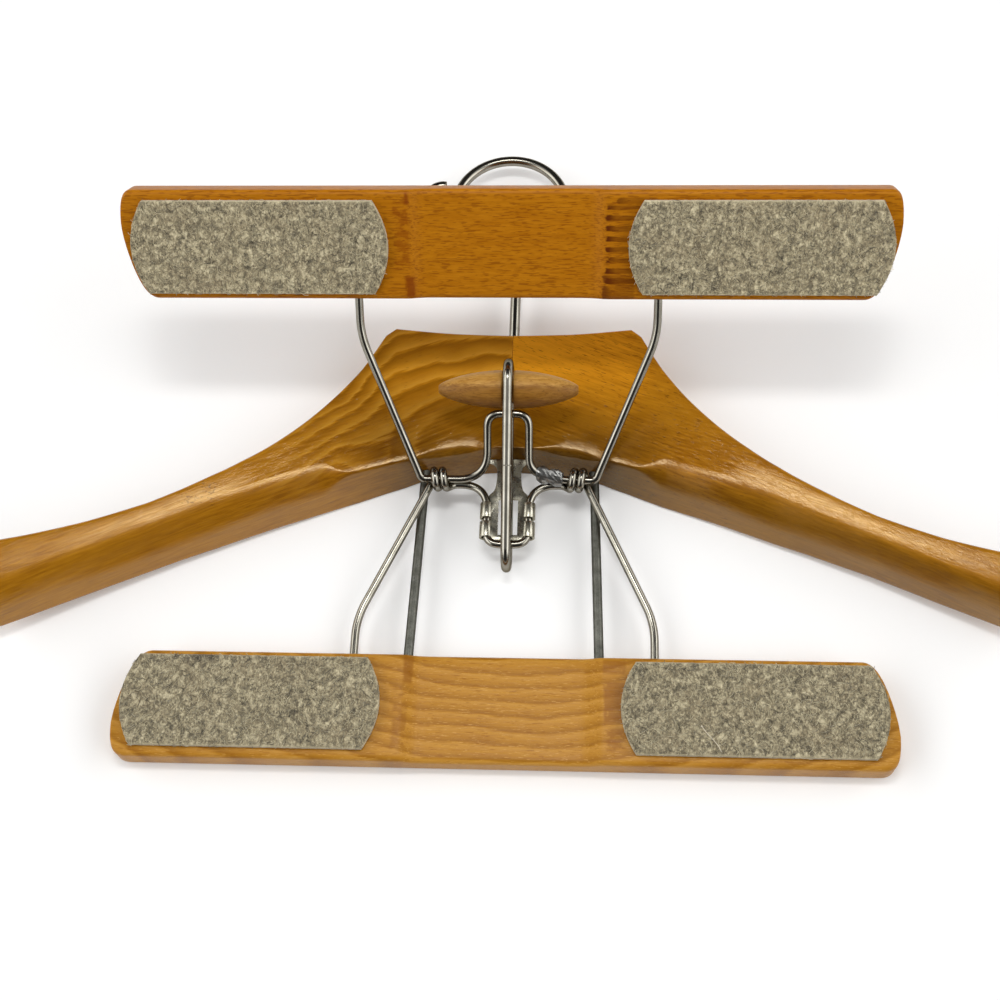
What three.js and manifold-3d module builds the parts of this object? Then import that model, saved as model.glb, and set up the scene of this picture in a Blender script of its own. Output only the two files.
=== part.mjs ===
// Wooden suit hanger with a folding trouser clamp, lying on its back with the clamp open.
// Millimetres. +X runs along the shoulders, +Y towards the hook, +Z up from the surface it lies on.
// While it is built, y = 0 is the clamp's hinge line; the whole group is centred at the end.

import * as THREE from 'three';
import { mergeVertices } from 'three/addons/utils/BufferGeometryUtils.js';
import Module from 'manifold-3d';

const wasm = await Module();
wasm.setup();

// Clearances
const seatGap = 0.3;
const seamGap = 0.1;
const runningGap = 0.35;
const jawGap = 0.4;
const overcut = 5;

// Clamp bars and felt pads
const barLength = 316;
const barHeight = 45;
const barThickness = 13;
const barEndInset = 7;
const barEdgeRound = 1;
const reliefLength = 80;
const reliefDepth = 2;
const reliefRunIn = 9;
const padLength = 106;
const padHeight = 38.4;
const padThickness = 2.4;
const padEndBow = 7;
const padEndMargin = 3;
const padFreeMargin = 3.8;

// Clamp wires
const wireDiameter = 3.4;
const jawReach = 100.5;
const frameHalfWidth = 62.2;
const frameBendReach = 61;
const frameBendTrim = 8;
const wireSeatDepth = 13;
const hingeBendOut = 3.5;
const hingeBendTrim = 2.2;
const coilTurnGap = 1;
const coilTurns = 1.75;
const coilSideGap = 1.2;
const bumpHalfWidth = 8.9;
const bumpReach = 28.6;
const bumpCorner = 5;
const bumpFoot = 8;
const ferruleFoot = 5;
const frontBumpTilt = THREE.MathUtils.degToRad(7.5);
const jawRaise = THREE.MathUtils.degToRad(47);
const ferruleLength = 9;
const ferruleWall = 0.6;
const wireEndGap = 0.6;

// Locking ring and olive
const ringWire = 4.2;
const ringInnerRadius = 6.2;
const ringTail = 11.9;
const ringHeadroom = 2.7;
const oliveLength = 60;
const oliveDiameter = 16.4;
const oliveTipDiameter = 4;
const oliveFullness = 0.75;

// Bracket
const sheetThickness = 0.9;
const windowSideGap = 2.1;
const windowNearGap = 0.5;
const windowFarGap = 0.9;
const nearBand = 3.4;
const farBand = 2.3;
const waistHalfWidth = 5.2;
const waistToBody = 4.5;
const hornFlare = 1.6;
const tongueHalfWidth = 9;
const tongueDepth = 9;
const tabLength = 6.9;
const tabGap = 2;
const tabFoot = THREE.MathUtils.degToRad(-97);
const tabWrap = THREE.MathUtils.degToRad(130);
const nailDiameter = 1.8;
const nailHeadDiameter = 3.8;
const nailHeadThickness = 0.8;
const nailTipCover = 2.5;
const nailHalfSpacing = 5.2;

// Legs
const legDiameter = 4;
const legTopHalfSpacing = 36.8;
const legFootHalfSpacing = 39.4;
const legSeatDepth = 12;

// Wooden body
const hingeToBody = 10.6;
const neckHeight = 61.9;
const neckHalfWidth = 57;
const neckCorner = 4.4;
const neckCornerDrop = 3;
const neckDish = 2;
const halfSpan = 225;
const armHeight = 26.5;
const armEndGrowth = 9;
const armGrowthStart = 145;
const armSlope = 0.5;
const archReach = 70;
const flareEnd = 135;
const flarePower = 2.5;
const bodyThickness = 18.5;
const armThickness = 22.5;
const undersideSlant = 3.6;
const armLift = 9;
const armLiftPower = 1.7;
const flatBackReach = 60;
const armEndRound = 13;
const armEndTaper = 0.9;
const armBlendStart = 48;
const armBlendEnd = 104;

// Corner radii of the body's section, at the flat neck and on the rounded arm
const lowBackCorner = { y: -1, z: -1, neck: 1, arm: 2.5 };
const topBackCorner = { y: 1, z: -1, neck: 1.6, arm: 8 };
const topFrontCorner = { y: 1, z: 1, neck: 1.6, arm: 11 };
const lowFrontCorner = { y: -1, z: 1, neck: 0.8, arm: 10.5 };
const cornerSteps = 5;

// Dowels
const dowelDiameter = 6;
const dowelLength = 36;
const lowerDowelRise = 16.5;
const dowelSpacing = 9;

// Hook
const hookWire = 4.6;
const hookRadius = 25;
const hookOffset = 4;
const hookCentreRise = 75.5;
const shankRise = 21;
const shankToDowel = 8.4;
const hookJoinAngle = THREE.MathUtils.degToRad(-52);
const hookTipAngle = THREE.MathUtils.degToRad(172);
const tipCurlRadius = 6.8;
const tipCurlTurn = THREE.MathUtils.degToRad(272);
const collarDiameter = 10;
const collarHeight = 4;
const collarToShankEnd = 3;

// Worked out from the sizes above
const wireRadius = wireDiameter / 2;
const faceDrop = seatGap + padThickness + jawGap / 2;
const hingeZ = barThickness + faceDrop;
const barMidDrop = faceDrop + barThickness / 2;
const barNear = jawReach - barHeight / 2;
const barFree = jawReach + barHeight / 2;
const coilRadius = wireDiameter + runningGap;
const coilPitch = wireDiameter + coilTurnGap;
const ferruleNear = bumpHalfWidth + ferruleFoot + seatGap;
const ferruleMiddle = ferruleNear + ferruleLength / 2;
const coilOuterX = ferruleNear + ferruleLength + coilSideGap + wireRadius + coilTurns * coilPitch;
const hingeHalfWidth = coilOuterX + hingeBendOut;
const bumpRadius = Math.hypot(bumpReach, coilRadius);
const tabRadius = wireRadius + seatGap;
const bracketZ = hingeZ - coilRadius - tabRadius - sheetThickness;
const neckTop = hingeToBody + neckHeight;
const neckCornerX = neckHalfWidth - neckCorner;
const bodyMidZ = bodyThickness / 2;
const nailY = hingeToBody + tongueDepth / 2;
const nailLength = bodyThickness - nailTipCover;
const dowelRises = [lowerDowelRise, lowerDowelRise + dowelSpacing];
const shankEnd = hingeToBody + dowelRises[1] + dowelDiameter / 2 + shankToDowel;
const collarY = shankEnd + collarToShankEnd;
const hookCentreY = neckTop + hookCentreRise;
const hookTop = hookCentreY + hookRadius + hookWire / 2;

// The ring lies through the end wires of both bumps; the bracket's window leaves it room.
const rearEnd = vec(0, -bumpReach, hingeZ - coilRadius);
const frontEnd = vec(0, bumpRadius * Math.cos(jawRaise - frontBumpTilt),
  hingeZ + bumpRadius * Math.sin(jawRaise - frontBumpTilt));
const ringRun = frontEnd.distanceTo(rearEnd);
const ringRaise = Math.atan2(frontEnd.z - rearEnd.z, frontEnd.y - rearEnd.y);
const ringRadius = ringInnerRadius + ringWire / 2;
const oliveReach = ringRun + wireRadius + runningGap + oliveDiameter / 2;
const ringCrossing = (ringRadius * Math.cos(ringRaise) - tabRadius) / Math.tan(ringRaise)
  + ringRadius * Math.sin(ringRaise) - bumpReach;
const windowNear = -ringCrossing - ringWire / 2 / Math.sin(ringRaise) - windowNearGap;
const windowFar = bumpReach - ringInnerRadius + windowFarGap;

const amberWood = new THREE.MeshStandardMaterial({ color: 0xb4772f, roughness: 0.3, metalness: 0 });
const barWood = new THREE.MeshStandardMaterial({ color: 0xb9812f, roughness: 0.35, metalness: 0 });
const paleWood = new THREE.MeshStandardMaterial({ color: 0xc08f58, roughness: 0.5, metalness: 0 });
const greyFelt = new THREE.MeshStandardMaterial({ color: 0x9b917f, roughness: 0.95, metalness: 0 });
const brightNickel = new THREE.MeshStandardMaterial({ color: 0xc2bfb6, roughness: 0.22, metalness: 1 });
const dullZinc = new THREE.MeshStandardMaterial({ color: 0x9a9a95, roughness: 0.5, metalness: 1 });
const sheetNickel = new THREE.MeshStandardMaterial({ color: 0xb0aca0, roughness: 0.4, metalness: 1 });

function vec(x, y, z = 0) {
  return new THREE.Vector3(x, y, z);
}

// Closed mesh through rings of equal point counts, each ring counter-clockwise about the way it runs.
function loft(rings, closed = false) {
  const sides = rings[0].length;
  const points = rings.flat();
  const triangles = [];
  const spans = closed ? rings.length : rings.length - 1;
  for (let i = 0; i < spans; i += 1) {
    const here = i * sides;
    const next = ((i + 1) % rings.length) * sides;
    for (let j = 0; j < sides; j += 1) {
      const k = (j + 1) % sides;
      triangles.push(here + j, here + k, next + k, here + j, next + k, next + j);
    }
  }
  if (!closed) {
    const last = (rings.length - 1) * sides;
    const middles = [rings[0], rings[rings.length - 1]].map((ring) => {
      const middle = ring.reduce((sum, point) => sum.add(point), vec(0, 0)).divideScalar(sides);
      return points.push(middle) - 1;
    });
    for (let j = 0; j < sides; j += 1) {
      const k = (j + 1) % sides;
      triangles.push(middles[0], k, j, middles[1], last + j, last + k);
    }
  }
  const geometry = new THREE.BufferGeometry().setFromPoints(points);
  geometry.setIndex(triangles);
  return geometry;
}

// Round wire along a path of points; the section is carried along without twisting.
function wire(path, diameter, sides = 8, closed = false) {
  const count = path.length;
  const tangents = path.map((point, i) => {
    const before = closed ? path[(i + count - 1) % count] : path[Math.max(i - 1, 0)];
    const after = closed ? path[(i + 1) % count] : path[Math.min(i + 1, count - 1)];
    return after.clone().sub(before).normalize();
  });
  const start = Math.abs(tangents[0].x) < 0.9 ? vec(1, 0) : vec(0, 1);
  let normal = start.sub(tangents[0].clone().multiplyScalar(start.dot(tangents[0]))).normalize();
  const rings = path.map((point, i) => {
    normal = normal.clone().sub(tangents[i].clone().multiplyScalar(normal.dot(tangents[i]))).normalize();
    const across = tangents[i].clone().cross(normal);
    return Array.from({ length: sides }, (_, j) => {
      const turn = (j / sides) * Math.PI * 2;
      return point.clone()
        .addScaledVector(normal, Math.cos(turn) * diameter / 2)
        .addScaledVector(across, Math.sin(turn) * diameter / 2);
    });
  });
  return loft(rings, closed);
}

// Path of straight runs with rounded corners; a corner is [point, how far from it the bend starts].
function bentPath(corners, bendSteps = 6) {
  return corners.flatMap(([point, trim], i) => {
    if (!trim) return [point];
    const into = corners[i - 1][0].clone().sub(point).setLength(trim).add(point);
    const out = corners[i + 1][0].clone().sub(point).setLength(trim).add(point);
    return new THREE.QuadraticBezierCurve3(into, point, out).getPoints(bendSteps);
  });
}

// Least clear distance between stretches of one wire that are not neighbours along it.
function selfGap(path, diameter) {
  const along = [0];
  for (let i = 1; i < path.length; i += 1) {
    along.push(along[i - 1] + path[i].distanceTo(path[i - 1]));
  }
  let least = Infinity;
  for (let i = 0; i < path.length; i += 1) {
    for (let j = i + 1; j < path.length; j += 1) {
      if (along[j] - along[i] > diameter * 4) least = Math.min(least, path[i].distanceTo(path[j]));
    }
  }
  return least - diameter;
}

function toSolid(geometry) {
  const bare = geometry.clone();
  bare.deleteAttribute('normal');
  bare.deleteAttribute('uv');
  const merged = mergeVertices(bare, 1e-4);
  return new wasm.Manifold(new wasm.Mesh({
    numProp: 3,
    vertProperties: new Float32Array(merged.attributes.position.array),
    triVerts: new Uint32Array(merged.index.array),
  }));
}

function toGeometry(solid) {
  const mesh = solid.getMesh();
  const geometry = new THREE.BufferGeometry();
  geometry.setAttribute('position', new THREE.BufferAttribute(new Float32Array(mesh.vertProperties), 3));
  geometry.setIndex(new THREE.BufferAttribute(new Uint32Array(mesh.triVerts), 1));
  return geometry;
}

function carve(geometry, cutters) {
  return toGeometry(cutters.reduce((solid, cutter) => solid.subtract(toSolid(cutter)), toSolid(geometry)));
}

function join(geometries) {
  return toGeometry(geometries.map(toSolid).reduce((sum, solid) => sum.add(solid)));
}

// Round rod between two points.
function rod(from, to, diameter, sides = 12) {
  const geometry = new THREE.CylinderGeometry(diameter / 2, diameter / 2, from.distanceTo(to), sides);
  const turn = new THREE.Quaternion().setFromUnitVectors(vec(0, 1), to.clone().sub(from).normalize());
  const middle = from.clone().add(to).multiplyScalar(0.5);
  return geometry.applyQuaternion(turn).translate(middle.x, middle.y, middle.z);
}

function place(group, name, geometry, material) {
  const mesh = new THREE.Mesh(geometry, material);
  mesh.name = name;
  group.add(mesh);
  return mesh;
}

// Body: sections across the arm, from the seam to the rounded end.
function lowerEdge(x) {
  return hingeToBody - armSlope * (Math.hypot(x, archReach) - archReach);
}

function upperEdge(x) {
  if (x <= neckCornerX) return neckTop - neckDish * (1 - (x / neckCornerX) ** 2);
  if (x < neckHalfWidth) return neckTop - neckCornerDrop * (x - neckCornerX) / neckCorner;
  const shoulder = neckTop - neckCornerDrop - lowerEdge(neckHalfWidth) - armHeight;
  const left = THREE.MathUtils.clamp((flareEnd - x) / (flareEnd - neckHalfWidth), 0, 1);
  const grown = Math.max(0, (x - armGrowthStart) / (halfSpan - armGrowthStart));
  return lowerEdge(x) + armHeight + shoulder * left ** flarePower + armEndGrowth * grown ** 2;
}

function bodySection(x) {
  const out = Math.abs(x);
  const arm = THREE.MathUtils.smoothstep(out, armBlendStart, armBlendEnd);
  const past = Math.max(0, out - (halfSpan - armEndRound)) / armEndRound;
  const size = Math.sqrt(1 - armEndTaper * past ** 2);
  const back = armLift * Math.max(0, (out - flatBackReach) / (halfSpan - flatBackReach)) ** armLiftPower;
  const depth = THREE.MathUtils.lerp(bodyThickness, armThickness, arm);
  const middleY = (lowerEdge(out) + upperEdge(out)) / 2;
  const middleZ = back + depth / 2;
  const halfY = (upperEdge(out) - lowerEdge(out)) / 2 * size;
  const halfZ = depth / 2 * size;
  const corners = [lowBackCorner, topBackCorner, topFrontCorner, lowFrontCorner];
  const widest = Math.min(halfY, halfZ) * 0.95;
  return corners.flatMap((corner, i) => {
    const radius = Math.min(THREE.MathUtils.lerp(corner.neck, corner.arm, arm), widest);
    return Array.from({ length: cornerSteps + 1 }, (_, j) => {
      const turn = Math.PI * (1 + (i + j / cornerSteps) / 2);
      const y = corner.y * (halfY - radius) + Math.cos(turn) * radius;
      const z = corner.z * (halfZ - radius) + Math.sin(turn) * radius;
      const slant = undersideSlant * size * (1 - y / halfY) * (1 + z / halfZ) / 4;
      return vec(x, middleY + y + slant, middleZ + z);
    });
  });
}

function bodyStations() {
  const armStart = halfSpan - armEndRound;
  const armSteps = 18;
  const endSteps = 5;
  const neck = [0.45, 0.8, 1].map((share) => neckCornerX * share);
  const arm = Array.from({ length: armSteps + 1 }, (_, i) => (
    THREE.MathUtils.lerp(neckHalfWidth, armStart, (i / armSteps) ** 1.25)));
  const end = Array.from({ length: endSteps }, (_, i) => (
    armStart + armEndRound * Math.sin(Math.PI / 2 * (i + 1) / endSteps)));
  return [seamGap / 2, ...neck, ...arm, ...end];
}

function bodyHalf(side) {
  const stations = bodyStations().map((x) => x * side);
  if (side < 0) stations.reverse();
  const shankBore = rod(vec(0, shankEnd - seatGap, bodyMidZ), vec(0, neckTop + overcut, bodyMidZ),
    hookWire + 2 * seatGap, 16);
  const collarRoom = rod(vec(0, collarY - seatGap, bodyMidZ),
    vec(0, collarY + collarHeight + seatGap, bodyMidZ), collarDiameter + 2 * seatGap, 16);
  const slotDepth = tongueDepth + seatGap + overcut;
  const slot = new THREE.BoxGeometry(2 * (tongueHalfWidth + seatGap), slotDepth, sheetThickness + 2 * seatGap)
    .translate(0, hingeToBody - overcut + slotDepth / 2, bracketZ + sheetThickness / 2);
  const nailBack = vec(side * nailHalfSpacing, nailY, -overcut);
  const nailHole = rod(nailBack, nailBack.clone().setZ(nailLength + seatGap), nailDiameter + 2 * seatGap);
  const nailSink = rod(nailBack, nailBack.clone().setZ(nailHeadThickness + 2 * seatGap),
    nailHeadDiameter + 2 * seatGap);
  const dowelHoles = dowelRises.map((rise) => dowel(rise, seatGap));
  return carve(loft(stations.map(bodySection)),
    [shankBore, collarRoom, leg(side, seatGap), slot, nailHole, nailSink, ...dowelHoles]);
}

// Leg between its mouths in the body's underside and the rear bar's edge, sunk into both.
function leg(side, extra) {
  const topMouth = vec(side * legTopHalfSpacing, lowerEdge(legTopHalfSpacing), barThickness / 2);
  const footMouth = vec(side * legFootHalfSpacing, -barNear, barThickness / 2);
  const along = topMouth.clone().sub(footMouth).normalize();
  const foot = footMouth.addScaledVector(along, -wireSeatDepth - extra);
  const top = topMouth.addScaledVector(along, legSeatDepth + extra);
  return rod(foot, top, legDiameter + 2 * extra);
}

function dowel(rise, extra) {
  const half = dowelLength / 2 + extra;
  const y = hingeToBody + rise;
  return rod(vec(-half, y, bodyMidZ), vec(half, y, bodyMidZ), dowelDiameter + 2 * extra, 16);
}

function nail(side) {
  const x = side * nailHalfSpacing;
  const foot = nailHeadThickness + seatGap;
  const profile = [
    [0, seatGap], [nailHeadDiameter / 2, seatGap], [nailHeadDiameter / 2, foot], [nailDiameter / 2, foot],
    [nailDiameter / 2, nailLength - nailDiameter], [0, nailLength],
  ].map(([radius, z]) => new THREE.Vector2(radius, z));
  return new THREE.LatheGeometry(profile, 12).rotateX(Math.PI / 2).translate(x, nailY, 0);
}

// Hook: shank, sweep to the right, round the top, tip curled outward.
function hookPath() {
  const centre = vec(-hookOffset, hookCentreY, bodyMidZ);
  const onHook = (turn) => centre.clone().add(vec(Math.cos(turn), Math.sin(turn)).multiplyScalar(hookRadius));
  const heading = (turn) => vec(-Math.sin(turn), Math.cos(turn));
  const shankTop = vec(0, neckTop + shankRise, bodyMidZ);
  const joinPoint = onHook(hookJoinAngle);
  const sweepReach = joinPoint.distanceTo(shankTop) / 3;
  const sweep = new THREE.CubicBezierCurve3(
    shankTop,
    shankTop.clone().add(vec(0, sweepReach)),
    joinPoint.clone().addScaledVector(heading(hookJoinAngle), -sweepReach),
    joinPoint,
  ).getPoints(10);
  const round = Array.from({ length: 26 }, (_, i) => (
    onHook(THREE.MathUtils.lerp(hookJoinAngle, hookTipAngle, (i + 1) / 26))));
  const tipStart = onHook(hookTipAngle);
  const curlCentre = tipStart.clone().lerp(centre, -tipCurlRadius / hookRadius);
  const curl = Array.from({ length: 18 }, (_, i) => {
    const turn = hookTipAngle + Math.PI - tipCurlTurn * (i + 1) / 18;
    return curlCentre.clone().add(vec(Math.cos(turn), Math.sin(turn)).multiplyScalar(tipCurlRadius));
  });
  return [vec(0, shankEnd, bodyMidZ), ...sweep, ...round, ...curl];
}

function hookCollar() {
  const inner = hookWire / 2 + seatGap;
  const outer = collarDiameter / 2;
  const profile = [[inner, 0], [outer, 0], [outer, collarHeight], [inner, collarHeight], [inner, 0]]
    .map(([radius, y]) => new THREE.Vector2(radius, y));
  return new THREE.LatheGeometry(profile, 16).translate(0, collarY, bodyMidZ);
}

// Jaws are built lying flat, hinge line at the origin, bar towards +y, felt side towards +z.
function barGeometry(extraHoles) {
  const half = barLength / 2;
  const shoulder = half - barEndInset;
  const swell = half - barEndInset * 0.3;
  const low = barHeight * 0.35;
  const middle = barHeight * 0.5;
  const high = barHeight * 0.7;
  const rim = barHeight * 0.97;
  const outline = new THREE.Shape();
  outline.moveTo(-shoulder, 0);
  outline.lineTo(shoulder, 0);
  outline.bezierCurveTo(swell, low, half, middle, half, high);
  outline.quadraticCurveTo(half, rim, shoulder, barHeight);
  outline.lineTo(-shoulder, barHeight);
  outline.quadraticCurveTo(-half, rim, -half, high);
  outline.bezierCurveTo(-half, middle, -swell, low, -shoulder, 0);
  const slab = new THREE.ExtrudeGeometry(outline, {
    depth: barThickness - 2 * barEdgeRound,
    bevelThickness: barEdgeRound,
    bevelSize: barEdgeRound,
    bevelOffset: -barEdgeRound,
    bevelSegments: 2,
    curveSegments: 6,
  }).translate(0, barNear, -faceDrop - barThickness + barEdgeRound);
  const wireHoles = [-frameHalfWidth, frameHalfWidth].map((x) => rod(vec(x, barNear - overcut, -barMidDrop),
    vec(x, barNear + wireSeatDepth + seatGap, -barMidDrop), wireDiameter + 2 * seatGap));
  return carve(slab, [reliefCutter(), ...wireHoles, ...extraHoles]);
}

function reliefCutter() {
  const end = reliefLength / 2;
  const lift = reliefDepth + overcut;
  const profile = new THREE.Shape();
  profile.moveTo(-end, lift);
  profile.lineTo(-end, reliefDepth);
  profile.quadraticCurveTo(-end + reliefRunIn * 0.4, 0, -end + reliefRunIn, 0);
  profile.lineTo(end - reliefRunIn, 0);
  profile.quadraticCurveTo(end - reliefRunIn * 0.4, 0, end, reliefDepth);
  profile.lineTo(end, lift);
  return new THREE.ExtrudeGeometry(profile, {
    depth: barHeight + 2 * overcut,
    bevelEnabled: false,
    curveSegments: 5,
  }).rotateX(Math.PI / 2).translate(0, barFree + overcut, -faceDrop - reliefDepth);
}

function padGeometry(side) {
  const half = padLength / 2;
  const straight = half - padEndBow;
  const outline = new THREE.Shape();
  outline.moveTo(-straight, -padHeight / 2);
  outline.lineTo(straight, -padHeight / 2);
  outline.quadraticCurveTo(half + padEndBow, 0, straight, padHeight / 2);
  outline.lineTo(-straight, padHeight / 2);
  outline.quadraticCurveTo(-half - padEndBow, 0, -straight, -padHeight / 2);
  return new THREE.ExtrudeGeometry(outline, { depth: padThickness, bevelEnabled: false, curveSegments: 8 })
    .translate(side * (barLength / 2 - padEndMargin - half), barFree - padFreeMargin - padHeight / 2,
      -faceDrop + seatGap);
}

function mirrored(path) {
  return path.map((point) => vec(-point.x, point.y, point.z)).reverse();
}

// Rear wire: bar, diagonal, coil round the hinge line, foot and bump, then the same mirrored.
function rearFramePath() {
  const bar = bentPath([
    [vec(frameHalfWidth, barNear + wireSeatDepth, -barMidDrop), 0],
    [vec(frameHalfWidth, frameBendReach, -barMidDrop), frameBendTrim],
    [vec(coilOuterX, 0, -coilRadius), 0],
  ]).slice(0, -1);
  const stepsPerTurn = 24;
  const steps = Math.round(stepsPerTurn * coilTurns);
  const coil = Array.from({ length: steps + 1 }, (_, i) => {
    const turn = coilTurns * i / steps;
    const angle = turn * Math.PI * 2;
    return vec(coilOuterX - coilPitch * turn, -coilRadius * Math.sin(angle), -coilRadius * Math.cos(angle));
  });
  const coilEnd = coil[steps];
  const footY = coilRadius * 0.8;
  const footX = coilEnd.x - coilRadius * 1.3;
  const foot = new THREE.CubicBezierCurve3(
    coilEnd,
    vec(coilEnd.x - coilRadius * 0.08, coilEnd.y, -coilRadius * 0.65),
    vec(footX + coilRadius * 0.8, footY, -coilRadius),
    vec(footX, footY, -coilRadius),
  ).getPoints(7).slice(1);
  const bump = bentPath([
    [vec(footX, footY, -coilRadius), 0],
    [vec(bumpHalfWidth, footY, -coilRadius), bumpFoot],
    [vec(bumpHalfWidth, bumpReach, -coilRadius), bumpCorner],
    [vec(0, bumpReach, -coilRadius), 0],
  ]).slice(1, -1);
  const half = [...bar, ...coil, ...foot, ...bump];
  return [...half, ...mirrored(half)];
}

// Front wire: two pieces that slide into the coils from either side and meet in the ferrule.
function frontSide(side) {
  return [
    [vec(side * frameHalfWidth, barNear + wireSeatDepth, -barMidDrop), 0],
    [vec(side * frameHalfWidth, frameBendReach, -barMidDrop), frameBendTrim],
    [vec(side * hingeHalfWidth, 0), hingeBendTrim],
  ];
}

function frontMainPath() {
  const bumpY = bumpRadius * Math.cos(frontBumpTilt);
  const bumpZ = -bumpRadius * Math.sin(frontBumpTilt);
  return bentPath([
    ...frontSide(-1),
    [vec(-bumpHalfWidth, 0), bumpFoot],
    [vec(-bumpHalfWidth, bumpY, bumpZ), bumpCorner],
    [vec(bumpHalfWidth, bumpY, bumpZ), bumpCorner],
    [vec(bumpHalfWidth, 0), ferruleFoot],
    [vec(ferruleMiddle - wireEndGap / 2, 0), 0],
  ]);
}

function frontRightPath() {
  return bentPath([[vec(ferruleMiddle + wireEndGap / 2, 0), 0], ...frontSide(1).reverse()]);
}

function ferrule() {
  const inner = wireRadius + seatGap;
  const outer = inner + ferruleWall;
  const profile = [[inner, 0], [outer, 0], [outer, ferruleLength], [inner, ferruleLength], [inner, 0]]
    .map(([radius, y]) => new THREE.Vector2(radius, y));
  return new THREE.LatheGeometry(profile, 12).rotateZ(-Math.PI / 2).translate(ferruleNear, 0, 0);
}

// Bracket: flat plate under the rear bump, its tabs rolled round the bump's legs, tongue in the body.
function bracketGeometry() {
  const windowHalfWidth = ringWire / 2 + windowSideGap;
  const bandTop = nearBand - windowNear;
  const plateEnd = windowFar + farBand;
  const plate = new THREE.Shape();
  plate.moveTo(bumpHalfWidth, -plateEnd);
  plate.lineTo(bumpHalfWidth, -windowNear);
  plate.quadraticCurveTo(bumpHalfWidth, bandTop - hornFlare, waistHalfWidth + hornFlare, bandTop);
  plate.quadraticCurveTo(waistHalfWidth, bandTop + hornFlare, waistHalfWidth, hingeToBody - waistToBody);
  plate.quadraticCurveTo(waistHalfWidth, hingeToBody, tongueHalfWidth, hingeToBody + seatGap);
  plate.lineTo(tongueHalfWidth, hingeToBody + tongueDepth);
  plate.lineTo(-tongueHalfWidth, hingeToBody + tongueDepth);
  plate.lineTo(-tongueHalfWidth, hingeToBody + seatGap);
  plate.quadraticCurveTo(-waistHalfWidth, hingeToBody, -waistHalfWidth, hingeToBody - waistToBody);
  plate.quadraticCurveTo(-waistHalfWidth, bandTop + hornFlare, -waistHalfWidth - hornFlare, bandTop);
  plate.quadraticCurveTo(-bumpHalfWidth, bandTop - hornFlare, -bumpHalfWidth, -windowNear);
  plate.lineTo(-bumpHalfWidth, -plateEnd);
  const window = new THREE.Path();
  window.moveTo(-windowHalfWidth, -windowFar);
  window.lineTo(-windowHalfWidth, -windowNear);
  window.lineTo(windowHalfWidth, -windowNear);
  window.lineTo(windowHalfWidth, -windowFar);
  plate.holes.push(window);
  [-1, 1].forEach((side) => {
    const hole = new THREE.Path();
    hole.absarc(side * nailHalfSpacing, nailY, nailDiameter / 2 + seatGap, 0, Math.PI * 2, true);
    plate.holes.push(hole);
  });
  const sheet = { depth: sheetThickness, bevelEnabled: false, curveSegments: 6 };
  const flat = new THREE.ExtrudeGeometry(plate, sheet).translate(0, 0, bracketZ);
  const tabTops = [plateEnd - tabLength, plateEnd - 2 * tabLength - tabGap];
  return join([flat, ...tabTops.flatMap((top) => [bracketTab(-1, -top), bracketTab(1, -top)])]);
}

// One tab: from under the leg, round its outer side and over its top.
function bracketTab(side, topY) {
  const turns = [tabFoot, tabWrap].map((turn) => (side > 0 ? turn : Math.PI - turn));
  const profile = new THREE.Shape();
  profile.absarc(0, 0, tabRadius + sheetThickness, turns[0], turns[1], side < 0);
  profile.absarc(0, 0, tabRadius, turns[1], turns[0], side > 0);
  return new THREE.ExtrudeGeometry(profile, { depth: tabLength, bevelEnabled: false, curveSegments: 10 })
    .rotateX(Math.PI / 2)
    .translate(side * bumpHalfWidth, topY, rearEnd.z);
}

// Ring: a closed link, long side along +y, the rear bump's end wire at its origin.
function ringPath() {
  const near = -ringTail + ringInnerRadius + ringWire;
  const bend = (y, from) => Array.from({ length: 11 }, (_, i) => {
    const turn = from + Math.PI * i / 10;
    return vec(0, y + Math.cos(turn) * ringRadius, Math.sin(turn) * ringRadius);
  });
  return [...bend(oliveReach + ringHeadroom, -Math.PI / 2), ...bend(near, Math.PI / 2)];
}

function oliveGeometry() {
  const half = oliveLength / 2;
  const tip = oliveTipDiameter / 2;
  const groove = ringWire / 2 + seatGap;
  const waist = ringInnerRadius - seatGap;
  const radiusAt = (x) => tip + (oliveDiameter / 2 - tip) * (1 - (x / half) ** 2) ** oliveFullness;
  const flank = Array.from({ length: 10 }, (_, i) => {
    const x = THREE.MathUtils.lerp(half, groove, Math.sin(Math.PI / 2 * i / 9));
    return new THREE.Vector2(radiusAt(x), x);
  });
  const upper = [new THREE.Vector2(waist, groove), ...flank.reverse(), new THREE.Vector2(0, half)];
  const lower = upper.map((point) => new THREE.Vector2(point.x, -point.y)).reverse();
  return new THREE.LatheGeometry([...lower, ...upper], 20).rotateZ(-Math.PI / 2);
}

const hanger = new THREE.Group();
hanger.position.y = (barFree - hookTop) / 2;

place(hanger, 'body_left_half', bodyHalf(-1), amberWood);
place(hanger, 'body_right_half', bodyHalf(1), amberWood);
place(hanger, 'lower_dowel', dowel(dowelRises[0], 0), paleWood);
place(hanger, 'upper_dowel', dowel(dowelRises[1], 0), paleWood);
place(hanger, 'hook', wire(hookPath(), hookWire), brightNickel);
place(hanger, 'hook_collar', hookCollar(), dullZinc);
place(hanger, 'bracket', bracketGeometry(), sheetNickel);

[['left', -1], ['right', 1]].forEach(([word, side]) => {
  place(hanger, `${word}_leg`, leg(side, 0), dullZinc);
  place(hanger, `${word}_bracket_nail`, nail(side), dullZinc);
});

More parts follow.
